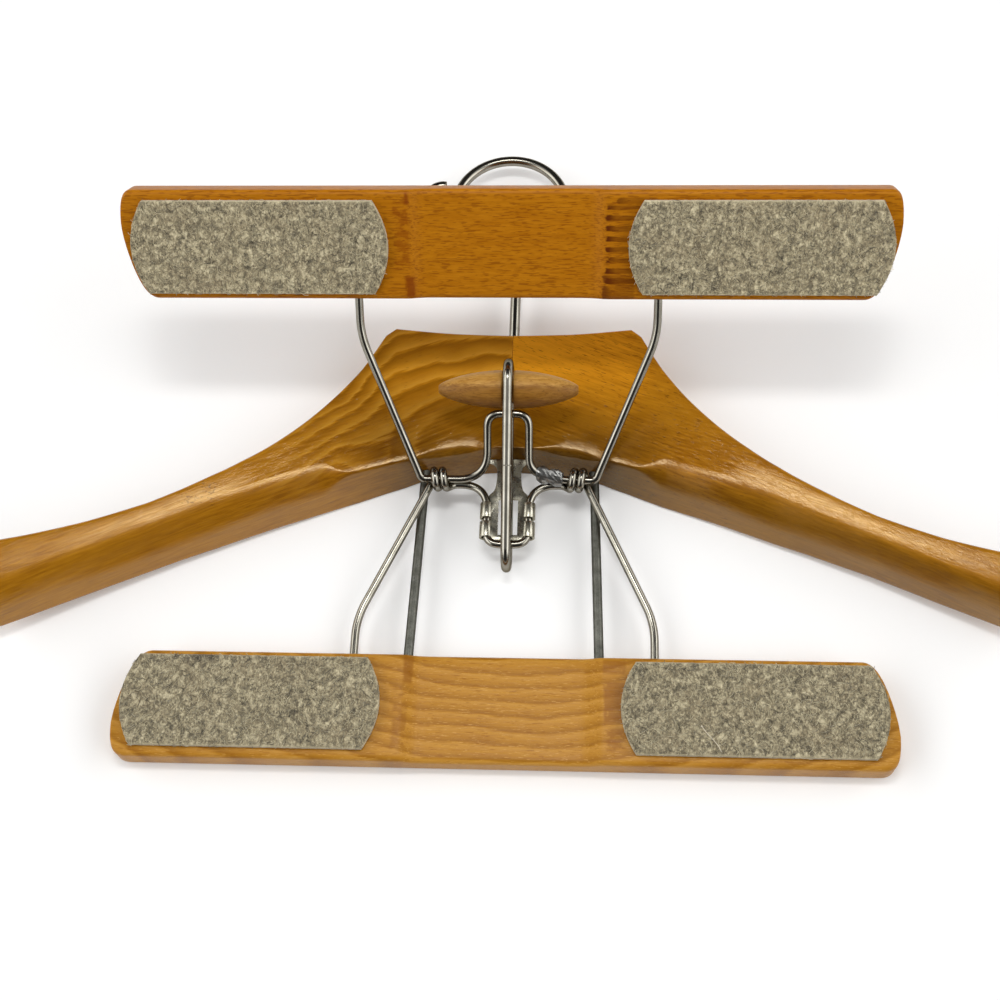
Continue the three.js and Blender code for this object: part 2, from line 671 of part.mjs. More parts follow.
const rearJaw = new THREE.Group();
rearJaw.position.z = hingeZ;
rearJaw.rotation.z = Math.PI;
hanger.add(rearJaw);
const rearPath = rearFramePath();
place(rearJaw, 'rear_frame', wire(rearPath, wireDiameter), brightNickel);
const legHoles = [-1, 1].map((side) => leg(side, seatGap).translate(0, 0, -hingeZ).rotateZ(Math.PI));
place(rearJaw, 'rear_bar', barGeometry(legHoles), barWood);
place(rearJaw, 'rear_left_pad', padGeometry(1), greyFelt);
place(rearJaw, 'rear_right_pad', padGeometry(-1), greyFelt);

const frontJaw = new THREE.Group();
frontJaw.position.z = hingeZ;
frontJaw.rotation.x = jawRaise;
hanger.add(frontJaw);
place(frontJaw, 'front_main_wire', wire(frontMainPath(), wireDiameter), brightNickel);
place(frontJaw, 'front_right_wire', wire(frontRightPath(), wireDiameter), brightNickel);
place(frontJaw, 'ferrule', ferrule(), sheetNickel);
place(frontJaw, 'front_bar', barGeometry([]), barWood);
place(frontJaw, 'front_left_pad', padGeometry(-1), greyFelt);
place(frontJaw, 'front_right_pad', padGeometry(1), greyFelt);

const lock = new THREE.Group();
lock.position.copy(rearEnd);
lock.rotation.x = ringRaise;
hanger.add(lock);
place(lock, 'locking_ring', wire(ringPath(), ringWire, 8, true), brightNickel);
place(lock, 'toggle_olive', oliveGeometry(), paleWood).position.y = oliveReach;

console.log(`rear_frame: least gap of its coils ${selfGap(rearPath, wireDiameter).toFixed(2)} mm`);
console.log(`hook: least gap at its curled tip ${selfGap(hookPath(), hookWire).toFixed(2)} mm`);

const root = new THREE.Group();
root.add(hanger);

export default root;
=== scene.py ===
import math
import random

import bmesh
import bpy
from mathutils import Matrix, Vector, noise


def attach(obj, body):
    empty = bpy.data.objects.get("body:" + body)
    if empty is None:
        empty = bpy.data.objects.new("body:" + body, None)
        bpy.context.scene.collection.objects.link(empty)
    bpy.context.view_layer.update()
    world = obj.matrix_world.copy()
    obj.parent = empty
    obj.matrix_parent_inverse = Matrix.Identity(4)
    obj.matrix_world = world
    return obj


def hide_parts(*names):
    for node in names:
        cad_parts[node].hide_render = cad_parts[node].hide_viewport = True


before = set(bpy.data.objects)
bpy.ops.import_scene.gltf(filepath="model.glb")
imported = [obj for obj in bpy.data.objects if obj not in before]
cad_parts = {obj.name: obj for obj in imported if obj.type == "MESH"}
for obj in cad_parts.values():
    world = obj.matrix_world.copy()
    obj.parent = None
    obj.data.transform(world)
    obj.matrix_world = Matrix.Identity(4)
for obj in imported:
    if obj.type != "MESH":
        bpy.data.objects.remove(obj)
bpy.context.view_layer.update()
scene = bpy.context.scene
scene.view_settings.view_transform = "Standard"
mm = 0.001
print("frame loaded,", len(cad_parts), "nodes")


def addObject(name, data):
    made = bpy.data.objects.new(name, data)
    scene.collection.objects.link(made)
    return made


# camera, where the photo was taken from
cameraSet = {
    "eye": (0.033584, -0.307255, 0.593120), "lens": 54.0, "sensor": 36.0, "clipStart": 0.01,
    "tilt": math.radians(25.392), "turn": math.radians(7.726), "roll": math.radians(-6.352),
}


def makeCamera(c):
    sinTilt = math.sin(c["tilt"])
    back = Vector((math.sin(c["turn"]) * sinTilt, -math.cos(c["turn"]) * sinTilt, math.cos(c["tilt"])))
    right = Vector((math.cos(c["turn"]), math.sin(c["turn"]), 0))
    up = back.cross(right)
    side = right * math.cos(c["roll"]) + up * math.sin(c["roll"])
    top = up * math.cos(c["roll"]) - right * math.sin(c["roll"])
    data = bpy.data.cameras.new("photoCamera")
    data.lens = c["lens"]
    data.sensor_width = c["sensor"]
    data.clip_start = c["clipStart"]
    scene.camera = addObject("photoCamera", data)
    scene.camera.matrix_world = Matrix.Translation(c["eye"]) @ Matrix((side, top, back)).transposed().to_4x4()


makeCamera(cameraSet)
print("camera set")


# node helpers, t is the tree that they add to
def put(t, kind, sets=None, **props):
    made = t.nodes.new(kind)
    for name, value in props.items():
        setattr(made, name, value)
    for name, value in (sets or {}).items():
        if isinstance(value, bpy.types.NodeSocket):
            t.links.new(value, made.inputs[name])
        else:
            made.inputs[name].default_value = value
    return made


def calc(t, operation, a, b=0.0):
    return put(t, "ShaderNodeMath", {0: a, 1: b}, operation=operation).outputs[0]


def plus(t, a, b):
    return calc(t, "ADD", a, b)


def minus(t, a, b):
    return calc(t, "SUBTRACT", a, b)


def times(t, product, *factors):
    for factor in factors:
        product = calc(t, "MULTIPLY", product, factor)
    return product


def spread(t, value, low, high, toLow=0.0, toHigh=1.0):
    sets = {"Value": value, "From Min": low, "From Max": high, "To Min": toLow, "To Max": toHigh}
    return put(t, "ShaderNodeMapRange", sets, clamp=True).outputs[0]


def fall(t, value, low, high):
    return spread(t, value, low, high, 1.0, 0.0)


def rgb(colour):
    return (*colour, 1.0)


def blend(t, share, a, b, mode="MIX"):
    a, b = (rgb(c) if isinstance(c, tuple) else c for c in (a, b))
    return put(t, "ShaderNodeMix", {0: share, 6: a, 7: b}, data_type="RGBA", blend_type=mode).outputs[2]


def blendValue(t, share, a, b):
    return put(t, "ShaderNodeMix", {0: share, 2: a, 3: b}, data_type="FLOAT").outputs[0]


def vectorCalc(t, operation, a, b=(0, 0, 0), out="Vector"):
    return put(t, "ShaderNodeVectorMath", {0: a, 1: b}, operation=operation).outputs[out]


def lengthOf(t, vector):
    return vectorCalc(t, "LENGTH", vector, out="Value")


def split(t, vector):
    return put(t, "ShaderNodeSeparateXYZ", {0: vector}).outputs


def combine(t, x=0.0, y=0.0, z=0.0):
    return put(t, "ShaderNodeCombineXYZ", {0: x, 1: y, 2: z}).outputs[0]


def cloud(t, vector, scale, detail=2.0, rough=0.5):
    sets = {"Vector": vector, "Scale": scale, "Detail": detail, "Roughness": rough}
    return put(t, "ShaderNodeTexNoise", sets).outputs[0]


def streaks(t, vector, scale, detail=2.0, rough=0.5):
    return cloud(t, vectorCalc(t, "MULTIPLY", vector, scale), 1.0, detail, rough)


def coordinate(t, kind="Object"):
    return put(t, "ShaderNodeTexCoord").outputs[kind]


def attribute(t, name, kind="Vector"):
    return put(t, "ShaderNodeAttribute", attribute_name=name).outputs[kind]


def bumped(t, height, strength, distance):
    return put(t, "ShaderNodeBump", {"Height": height, "Strength": strength, "Distance": distance}).outputs[0]


def feed(t, node, **links):
    for name, value in links.items():
        t.links.new(value, node.inputs[name.replace("_", " ")])


def addSockets(tree, inOut, **kinds):
    for name, kind in kinds.items():
        tree.interface.new_socket(name.replace("_", " "), in_out=inOut, socket_type="NodeSocket" + kind)


def newMaterial(name, **plain):
    mat = bpy.data.materials.new(name)
    mat.use_nodes = True
    shader = mat.node_tree.nodes["Principled BSDF"]
    for key, value in plain.items():
        shader.inputs[key.replace("_", " ")].default_value = value
    return mat, mat.node_tree, shader


# light and floor: a short tube and a lamp overhead, in a room with pale sides and darker ends
stageSet = {
    "floorColour": (0.90, 0.90, 0.895), "mottleShade": 0.985, "mottleSize": 7.0, "floorSize": 8.0,
    "floorRough": 0.7, "floorShine": 0.1, "floorLift": 0.10, "farLift": 0.32, "liftReach": (0.5, 2.5),
    "skyLow": 0.60, "skyMiddle": 0.94, "skyTop": 0.49, "lowReach": (0.0, 0.45), "topReach": (0.55, 0.95),
    "sideGain": 3.15, "sideReach": (0.43, 0.68), "sideRise": (0.20, 0.45), "endDark": 0.05,
    "endReach": (0.55, 0.85), "behind": (0.16, 0.26), "before": (-0.55, -0.25), "least": 0.05,
    "lamps": (
        {"name": "tube", "shape": "RECTANGLE", "size": (0.60, 0.12), "power": 2.2, "place": (0.0, 0.075, 1.1)},
        {"name": "lamp", "shape": "DISK", "size": (0.22, 0.22), "power": 1.2, "place": (0.0, 0.060, 1.1)},
    ),
}


def makeFloor(s):
    mesh = bpy.data.meshes.new("floor")
    half = s["floorSize"] / 2
    corners = [(-half, -half, 0), (half, -half, 0), (half, half, 0), (-half, half, 0)]
    mesh.from_pydata(corners, [], [(0, 1, 2, 3)])
    mat, t, shader = newMaterial("paleTable", Roughness=s["floorRough"], Specular_IOR_Level=s["floorShine"])
    place = coordinate(t)
    dim = tuple(c * s["mottleShade"] for c in s["floorColour"])
    feed(t, shader, Base_Color=blend(t, cloud(t, place, s["mottleSize"], 3.0), dim, s["floorColour"]))
    path = put(t, "ShaderNodeLightPath").outputs
    seen = calc(t, "MAXIMUM", path["Is Camera Ray"], path["Is Glossy Ray"])
    level = times(t, seen, spread(t, lengthOf(t, place), *s["liftReach"], s["floorLift"], s["farLift"]))
    lift = put(t, "ShaderNodeEmission", {"Color": (1, 1, 1, 1), "Strength": level})
    both = put(t, "ShaderNodeAddShader", {0: shader.outputs[0], 1: lift.outputs[0]})
    feed(t, t.nodes["Material Output"], Surface=both.outputs[0])
    mesh.materials.append(mat)
    addObject("floor", mesh)


def makeSky(s):
    scene.world = bpy.data.worlds.new("studio")
    scene.world.use_nodes = True
    t = scene.world.node_tree
    way = split(t, coordinate(t, "Generated"))
    low = spread(t, way["Z"], *s["lowReach"], s["skyLow"], s["skyMiddle"])
    glow = plus(t, low, spread(t, way["Z"], *s["topReach"], 0.0, s["skyTop"] - s["skyMiddle"]))
    broad = calc(t, "ABSOLUTE", way["X"])
    sides = times(t, spread(t, broad, *s["sideReach"]), spread(t, way["Z"], *s["sideRise"]))
    glow = times(t, glow, spread(t, sides, 0.0, 1.0, 1.0, s["sideGain"]))
    deep = calc(t, "SQRT", plus(t, times(t, way["Y"], way["Y"]), times(t, way["Z"], way["Z"])))
    aside = calc(t, "DIVIDE", broad, calc(t, "MAXIMUM", deep, s["least"]))
    steep = calc(t, "DIVIDE", way["Y"], calc(t, "MAXIMUM", way["Z"], s["least"]))
    ends = calc(t, "MAXIMUM", spread(t, steep, *s["behind"]), fall(t, way["Y"], *s["before"]))
    ends = times(t, ends, fall(t, aside, *s["endReach"]))
    glow = times(t, glow, spread(t, ends, 0.0, 1.0, 1.0, s["endDark"]))
    white = put(t, "ShaderNodeLightPath").outputs["Is Camera Ray"]
    back = t.nodes["Background"]
    back.inputs["Color"].default_value = (1, 1, 1, 1)
    feed(t, back, Strength=blendValue(t, white, glow, 1.0))


def addLamp(name, shape, size, power, place):
    data = bpy.data.lights.new(name, "AREA")
    data.shape = shape
    data.size, data.size_y = size
    data.energy = power
    addObject(name, data).location = place


makeFloor(stageSet)
makeSky(stageSet)
for lamp in stageSet["lamps"]:
    addLamp(**lamp)
print("stage set")


# beech: year rings, short dark flecks and fibres, for every wooden piece
grainSet = {
    "fibre": (70, 1000, 1000), "dash": (270, 1900, 1900), "hair": (160, 4200, 4200), "waveSize": 32.0,
    "fibreWave": 0.16, "waveMiddle": 0.58, "bandEdge": 0.16, "crestEdge": 0.10, "crestPower": 3.5,
    "fleckEdge": 0.07, "fibreHeight": 0.7, "hairHeight": 0.4, "fleckHeight": 0.15,
}


def makeGrainGroup(s):
    t = bpy.data.node_groups.new("beechGrain", "ShaderNodeTree")
    addSockets(t, "INPUT", Fibre="Vector", Ring="Vector", Spacing="Float", Warp="Float")
    addSockets(t, "INPUT", Sharpness="Float", Fleck_Limit="Float")
    addSockets(t, "OUTPUT", Bands="Float", Crests="Float", Flecks="Float", Fibres="Float", Height="Float")
    start = put(t, "NodeGroupInput").outputs
    fibres = streaks(t, start["Fibre"], s["fibre"], 4.0, 0.62)
    wander = plus(t, cloud(t, start["Ring"], s["waveSize"], 3.0), times(t, fibres, s["fibreWave"]))
    shift = times(t, minus(t, wander, s["waveMiddle"]), start["Warp"])
    turns = calc(t, "DIVIDE", plus(t, lengthOf(t, start["Ring"]), shift), start["Spacing"])
    turns = calc(t, "FRACT", turns)
    rest = minus(t, 1.0, turns)
    bands = times(t, calc(t, "POWER", turns, start["Sharpness"]), spread(t, rest, 0.0, s["bandEdge"]))
    crests = times(t, calc(t, "POWER", rest, s["crestPower"]), spread(t, turns, 0.0, s["crestEdge"]))
    limit = start["Fleck Limit"]
    flecks = spread(t, streaks(t, start["Fibre"], s["dash"], 1.0), limit, plus(t, limit, s["fleckEdge"]))
    hair = streaks(t, start["Fibre"], s["hair"])
    rough = plus(t, times(t, fibres, s["fibreHeight"]), times(t, hair, s["hairHeight"]))
    height = minus(t, rough, times(t, flecks, s["fleckHeight"]))
    ends = {"Bands": bands, "Crests": crests, "Flecks": flecks, "Fibres": fibres, "Height": height}
    put(t, "NodeGroupOutput", ends)
    return t


beechGrain = makeGrainGroup(grainSet)


# rings that close round the neck but run on along the arm
def sweptRing(t, place, ring, g):
    parts = split(t, place)
    out = minus(t, g["at"], parts["X"])
    bend = calc(t, "SQRT", plus(t, times(t, out, out), g["soft"] ** 2))
    drop = times(t, plus(t, bend, out), g["slope"] / 2)
    swept = plus(t, plus(t, parts["Y"], drop), g["level"])
    wanted = blendValue(t, spread(t, parts["X"], *g["reach"]), lengthOf(t, ring), swept)
    unit = vectorCalc(t, "NORMALIZE", ring)
    return put(t, "ShaderNodeVectorMath", {0: unit, "Scale": wanted}, operation="SCALE").outputs[0]


# brown glue marks: a window in x and y, broken up by strokes and noise
def stain(x, y, soft, ragged, grain, limit, depth, colour, **more):
    made = {"x": x, "y": y, "soft": soft, "ragged": ragged, "grain": (grain[0], grain[1], grain[1])}
    return dict(made, limit=limit, depth=depth, colour=colour, **more)


stainSet = {
    "front": -0.0085, "rise": 0.002, "fadeRun": (0.0015, 0.0045), "wave": 3.0, "stroke": 0.35, "edge": 0.12,
}


def between(t, value, limits, soft):
    low, high = limits
    return times(t, spread(t, value, low, low + soft), fall(t, value, high, high + soft))


def stainMask(t, place, s):
    g = stainSet
    parts = split(t, place)
    ragged = streaks(t, place, s["grain"], 3.0, 0.6)
    x = plus(t, parts["X"], times(t, minus(t, ragged, 0.5), s["ragged"]))
    mask = times(t, between(t, x, s["x"], s["soft"]), between(t, parts["Y"], s["y"], s["soft"]))
    front = s.get("front", g["front"])  # none on the back
    mask = times(t, mask, spread(t, parts["Z"], front, front + g["rise"]))
    if "fade" in s:
        start, end = (s["x"][0] + run for run in g["fadeRun"])
        mask = times(t, mask, spread(t, parts["X"], start, end, 1.0, s["fade"]))
    if "stroke" in s:
        along = plus(t, times(t, parts["Y"], math.tau / s["stroke"]), times(t, ragged, g["wave"]))
        mask = times(t, mask, spread(t, calc(t, "SINE", along), -g["stroke"], g["stroke"]))
    return times(t, mask, spread(t, ragged, s["limit"], s["limit"] + g["edge"]), s["depth"])


# where on the body a mark may show: how far out, which way the wood faces, and where its rings are
def bodyPlaces(t, place, ring, g):
    across = calc(t, "ABSOLUTE", split(t, place)["X"])
    facing = split(t, coordinate(t, "Normal"))["Y"]
    rings = times(t, fall(t, across, *g["ringReach"]), spread(t, lengthOf(t, ring), *g["heart"]))
    rings = times(t, rings, fall(t, calc(t, "ABSOLUTE", facing), *g["ringFacing"]))
    return across, facing, rings


# painted highlight: pale streaks along the crown of the arms, where the lamp's glare falls, painted into the
# wood's colour
def paintArmGlare(t, tone, fibre, across, facing, g):
    crownGlare = times(t, spread(t, facing, *g["crownTop"]), spread(t, facing, *g["crownFoot"]))
    glareStreaks = spread(t, streaks(t, fibre, g["glareStreaks"], 4.0, 0.7), *g["glareStreakEdges"])
    fields = spread(t, streaks(t, fibre, g["fields"]), *g["fieldEdges"])
    weight = times(t, times(t, crownGlare, glareStreaks), times(t, fields, spread(t, across, *g["crownStart"])))
    weight = times(t, weight, spread(t, across, *g["crownEnd"], g["crownDepth"], 0.0))
    return blend(t, weight, tone, g["crownGlare"])


# painted light and shade: the neck is painted paler towards the hook, against the front bar's shadow, and
# darker low down, where the olive's shadow falls; the undersides are painted darker as shade
def paintBodyShade(t, tone, place, across, facing, w):
    level = spread(t, split(t, place)["Y"], *w["fadeUp"])
    level = blendValue(t, spread(t, across, *w["body"]["neckReach"]), level, 1.0)
    tone = vectorCalc(t, "MULTIPLY", tone, combine(t, level, level, level))
    return blend(t, fall(t, facing, *w["body"]["underFacing"]), tone, w["under"], "MULTIPLY")


# painted shade: the olive's side away from the lamps is painted darker, and darker again towards the bottom
def paintOliveShade(t, tone, place, fibres, g):
    rise = vectorCalc(t, "DOT_PRODUCT", vectorCalc(t, "SUBTRACT", place, g["centre"]), g["way"], "Value")
    rise = plus(t, rise, times(t, minus(t, fibres, 0.5), g["ragged"]))
    for edge, tint in ((g["edge"], g["tint"]), (g["deepEdge"], g["deepTint"])):
        tone = blend(t, fall(t, rise, *edge), tone, tint, "MULTIPLY")
    return tone


woodBase = {
    "sharpness": 1.8, "crestDepth": 0.0, "turn": 0, "specular": 0.5, "shineTint": (1, 1, 1), "stains": (),
    "patchSize": (14, 40, 40), "glintSize": (330, 2300, 2300), "glintEdge": 0.08,
    "roughRange": (-0.05, 0.09), "bumpDepth": 0.0004, "fibreEdges": (0.3, 0.7), "patchEdges": (0.35, 0.7),
    "shineEdges": (0.25, 0.75), "ior": 1.5,
}


def woodMaterial(name, finish, **changes):
    w = {**woodBase, **finish, **changes}
    tint = rgb(w["shineTint"])
    mat, t, shader = newMaterial(name, IOR=w["ior"], Specular_IOR_Level=w["specular"], Specular_Tint=tint)
    place = attribute(t, w["along"]) if "along" in w else coordinate(t)
    turn = (0, 0, math.radians(w["turn"]))
    fibre = put(t, "ShaderNodeMapping", {"Vector": place, "Rotation": turn}).outputs[0]
    sets = {"Vector": place, "Location": w["ringShift"], "Scale": w["ringScale"]}
    ring = put(t, "ShaderNodeMapping", sets).outputs[0]
    if "sweep" in w:
        ring = sweptRing(t, place, ring, w["sweep"])
    sets = {"Fibre": fibre, "Ring": ring, "Spacing": w["spacing"], "Warp": w["warp"]}
    sets.update({"Sharpness": w["sharpness"], "Fleck Limit": w["fleckLimit"]})
    grain = put(t, "ShaderNodeGroup", sets, node_tree=beechGrain).outputs
    height = grain["Height"]
    flecks = times(t, grain["Flecks"], w["fleckDepth"])
    rings, body = 1.0, w.get("body")
    if body:
        across, facing, rings = bodyPlaces(t, place, ring, body)
        flecks = times(t, flecks, spread(t, across, *body["fleckFade"]))
        height = times(t, height, spread(t, across, *body["bumpGrowth"]))
    tone = blend(t, spread(t, grain["Fibres"], *w["fibreEdges"]), w["deep"], w["pale"])
    patch = spread(t, streaks(t, fibre, w["patchSize"]), *w["patchEdges"])
    tone = blend(t, times(t, patch, w["patchDepth"]), tone, w["patch"])
    tone = blend(t, times(t, grain["Bands"], w["bandDepth"], rings), tone, w["band"])
    if w["crestDepth"]:
        tone = blend(t, times(t, grain["Crests"], w["crestDepth"], rings), tone, w["crest"])
    tone = blend(t, flecks, tone, w["fleck"])
    # painted highlight on the arms' crown, then painted light and shade on the neck and undersides
    if body:
        tone = paintArmGlare(t, tone, fibre, across, facing, body)
        tone = paintBodyShade(t, tone, place, across, facing, w)
    if "glints" in w:  # painted glints: short pale dashes standing in for the lamp's sparkle on the pores
        limit, depth = w["glints"]
        spark = streaks(t, fibre, w["glintSize"], 2.0, 0.6)
        tone = blend(t, spread(t, spark, limit, limit + w["glintEdge"], 0.0, depth), tone, w["crest"])
    # painted shade on the olive's lower side
    if "oliveShade" in w:
        tone = paintOliveShade(t, tone, place, grain["Fibres"], w["oliveShade"])
    for mark in w["stains"]:
        tone = blend(t, stainMask(t, place, mark), tone, mark["colour"])
    low, high = (w["rough"] + step for step in w["roughRange"])
    shine = spread(t, grain["Fibres"], *w["shineEdges"], low, high)
    feed(t, shader, Base_Color=tone, Roughness=shine, Normal=bumped(t, height, w["bump"], w["bumpDepth"]))
    return mat


# finishes of the wood
bodyFinish = {
    "deep": (0.222, 0.073, 0.0018), "pale": (0.430, 0.176, 0.0060), "patch": (0.46, 0.200, 0.009),
    "band": (0.125, 0.040, 0.001), "crest": (0.62, 0.33, 0.040), "fleck": (0.100, 0.030, 0.001),
    "patchDepth": 0.45, "fleckDepth": 0.75, "fleckLimit": 0.64, "rough": 0.12, "bump": 0.26,
    "specular": 1.0, "shineTint": (1.0, 0.80, 0.50), "spacing": 0.0078, "warp": 0.018,
    "body": {
        "ringReach": (0.080, 0.112), "heart": (0.020, 0.030), "ringFacing": (0.45, 0.80),
        "fleckFade": (0.07, 0.12, 1.0, 0.25), "bumpGrowth": (0.06, 0.10, 1.0, 1.7),
        # crownGlare, crownDepth, glareStreaks and fields set the painted highlight on the arms' crown;
        # neckReach and underFacing place the painted neck light and underside shade
        "crownGlare": (0.83, 0.50, 0.16), "crownDepth": 0.70, "crownTop": (-0.03, -0.09),
        "crownFoot": (-0.30, -0.16), "crownStart": (0.075, 0.105), "crownEnd": (0.145, 0.190),
        "glareStreaks": (45, 1300, 1300), "fields": (26, 120, 120), "neckReach": (0.05, 0.075),
        "underFacing": (-0.75, -0.35), "glareStreakEdges": (0.40, 0.62, 0.15, 1.0),
        "fieldEdges": (0.36, 0.60, 0.35, 1.0),
    },
}
dentBrown = (0.085, 0.030, 0.003)
armDents = (
    stain((-0.1400, -0.1240), (-0.0440, -0.0330), 0.002, 0.006, (520, 760), 0.55, 0.8, dentBrown, front=0.014),
)
# painted shade: under darkens the undersides and fadeUp paints the neck darker low down and paler towards the
# hook; the right half more strongly
leftBodyWood = woodMaterial(
    "leftBodyWood", bodyFinish, turn=-24, bandDepth=0.72, crestDepth=0.60, fleckDepth=0.35, fleckLimit=0.67,
    ringShift=(0.0025, 0.010, 0), ringScale=(0.64, 1.0, 0.6), under=(0.88, 0.88, 0.88),
    sweep={"at": -0.025, "soft": 0.018, "slope": 0.9, "level": 0.001, "reach": (-0.052, -0.074)},
    fadeUp=(-0.008, 0.028, 0.68, 1.30), stains=armDents,
)
rightBodyWood = woodMaterial(
    "rightBodyWood", bodyFinish, turn=22, bandDepth=0.10, ringShift=(-0.1, 0.25, 0), ringScale=(0.5, 1.0, 0.6),
    under=(0.55, 0.55, 0.54), fadeUp=(-0.008, 0.028, 0.60, 1.78),
)
barFinish = {
    "along": "board", "deep": (0.345, 0.110, 0.0012), "pale": (0.490, 0.183, 0.0040),
    "patch": (0.47, 0.18, 0.004), "band": (0.26, 0.075, 0.002),
    "fleck": (0.20, 0.052, 0.001), "patchDepth": 0.35, "bandDepth": 0.12, "fleckDepth": 0.60,
    "fleckLimit": 0.55, "rough": 0.38, "bump": 0.22, "specular": 0.14, "ringShift": (0, 0.3, 0),
    "ringScale": (0.2, 1.0, 0.4), "spacing": 0.009, "warp": 0.012,
}
glueBrown = (0.105, 0.021, 0.0004)
glueRed = (0.200, 0.040, 0.0005)
frontStains = (
    stain(
        (0.0398, 0.0560), (0.0840, 0.1165), 0.0008, 0.0035, (160, 420), 0.25, 1.0, glueBrown, fade=0.55,
        stroke=0.0043,
    ),
    stain((0.0445, 0.0600), (0.1170, 0.1195), 0.0008, 0.006, (160, 300), 0.25, 0.7, glueBrown, fade=0.6),
    stain((0.0388, 0.0515), (0.0775, 0.0880), 0.0010, 0.004, (120, 420), 0.36, 0.8, glueBrown, fade=0.6),
    stain((-0.0463, -0.0398), (0.0900, 0.1185), 0.0010, 0.005, (180, 420), 0.46, 0.55, glueRed),
    stain((-0.0423, -0.0388), (0.0780, 0.0870), 0.0016, 0.004, (260, 160), 0.22, 0.85, glueRed),
    stain((-0.0420, -0.0400), (0.1165, 0.1215), 0.0012, 0.003, (260, 160), 0.22, 0.8, glueRed),
)
smearBrown = (0.25, 0.085, 0.006)
rearStains = (
    stain((-0.0510, -0.0415), (0.0790, 0.0850), 0.0010, 0.002, (200, 150), 0.25, 0.5, smearBrown),
    stain((-0.0510, -0.0420), (0.0885, 0.1050), 0.0010, 0.003, (160, 150), 0.25, 0.6, smearBrown),
    stain((-0.0500, -0.0430), (0.1075, 0.1170), 0.0012, 0.004, (160, 260), 0.42, 0.55, smearBrown),
    stain((0.0358, 0.0398), (0.0780, 0.0900), 0.0012, 0.002, (160, 110), 0.25, 0.65, smearBrown),
    stain((0.0378, 0.0433), (0.0900, 0.1185), 0.0012, 0.004, (160, 210), 0.45, 0.5, smearBrown),
)
frontBarWood = woodMaterial("frontBarWood", barFinish, stains=frontStains)
# the rear bar carries painted glints: pale dashes for the lamp's sparkle on the pores, in the crest colour
rearBarWood = woodMaterial(
    "rearBarWood", barFinish, deep=(0.38, 0.157, 0.012), pale=(0.50, 0.235, 0.026), patch=(0.51, 0.243, 0.028),
    band=(0.180, 0.058, 0.003), crest=(0.66, 0.37, 0.095), fleck=(0.26, 0.09, 0.007), bandDepth=0.75,
    crestDepth=0.35, fleckDepth=0.45, fleckLimit=0.62, spacing=0.0060, warp=0.010, sharpness=3.2,
    glints=(0.60, 0.55), rough=0.30, bump=0.25, specular=0.15, ringShift=(0.004, -0.020, 0),
    ringScale=(0.55, 1.0, 0.3), stains=rearStains,
)
oliveWood = woodMaterial("oliveWood", {
    "deep": (0.40, 0.190, 0.030), "pale": (0.60, 0.335, 0.085), "patch": (0.55, 0.290, 0.060),
    "band": (0.34, 0.150, 0.022), "fleck": (0.24, 0.092, 0.012),
    # painted shade: these tints darken the olive's side away from the lamps
    "oliveShade": {
        "centre": (0, 0.005508, 0.038332), "way": (0, 0.89, 0.456), "ragged": 0.0030,
        "edge": (0.0010, 0.0024), "tint": (0.58, 0.50, 0.36), "deepEdge": (-0.0070, -0.0020),
        "deepTint": (0.72, 0.62, 0.35),
    },
    "patchDepth": 0.4, "bandDepth": 0.45, "fleckDepth": 0.5, "fleckLimit": 0.57, "rough": 0.36, "bump": 0.40,
    "specular": 0.22, "ringShift": (0, 0.2, 0), "ringScale": (0.3, 1, 1), "spacing": 0.004, "warp": 0.006,
})
dowelWood = woodMaterial("dowelWood", {
    "deep": (0.40, 0.21, 0.07), "pale": (0.55, 0.33, 0.14), "patch": (0.5, 0.29, 0.11),
    "band": (0.4, 0.2, 0.07), "crest": (0.6, 0.38, 0.18), "fleck": (0.3, 0.14, 0.04), "patchDepth": 0.4,
    "bandDepth": 0.2, "crestDepth": 0.1, "fleckDepth": 0.4, "fleckLimit": 0.62, "rough": 0.55, "bump": 0.15,
    "ringShift": (0, 0.2, 0), "ringScale": (0.3, 1, 1), "spacing": 0.003, "warp": 0.004,
})
print("wood finishes made")


# plated metal: cloudy tarnish and fine pits
tarnishSet = {
    "cloudEdges": (0.3, 0.7), "pitSize": 2200.0, "pitEdge": 0.08, "cloudHeight": 0.5, "pitDepth": 0.5,
    "bumpDepth": 0.0001,
}


def makeTarnishGroup(s):
    t = bpy.data.node_groups.new("tarnish", "ShaderNodeTree")
    addSockets(t, "INPUT", Place="Vector", Cloud_Size="Float", Pit_Limit="Float")
    addSockets(t, "OUTPUT", Clouds="Float", Pits="Float", Height="Float")
    start = put(t, "NodeGroupInput").outputs
    clouds = spread(t, cloud(t, start["Place"], start["Cloud Size"], 4.0), *s["cloudEdges"])
    limit = start["Pit Limit"]
    pits = spread(t, cloud(t, start["Place"], s["pitSize"], 1.0), limit, plus(t, limit, s["pitEdge"]))
    height = minus(t, times(t, clouds, s["cloudHeight"]), pits)
    put(t, "NodeGroupOutput", {"Clouds": clouds, "Pits": pits, "Height": height})
    return t


tarnish = makeTarnishGroup(tarnishSet)


def metalMaterial(name, bright, dull, pit, edge, cloudSize, pitLimit, rough, bump):
    mat, t, shader = newMaterial(name, Metallic=1.0, Specular_Tint=rgb(edge))
    sets = {"Place": coordinate(t), "Cloud Size": cloudSize, "Pit Limit": pitLimit}
    grime = put(t, "ShaderNodeGroup", sets, node_tree=tarnish).outputs
    tone = blend(t, grime["Clouds"], dull, bright)
    tone = blend(t, times(t, grime["Pits"], tarnishSet["pitDepth"]), tone, pit)
    shine = spread(t, grime["Clouds"], 0.0, 1.0, rough[1], rough[0])
    bump = bumped(t, grime["Height"], bump, tarnishSet["bumpDepth"])
    feed(t, shader, Base_Color=tone, Roughness=shine, Normal=bump)
    return mat


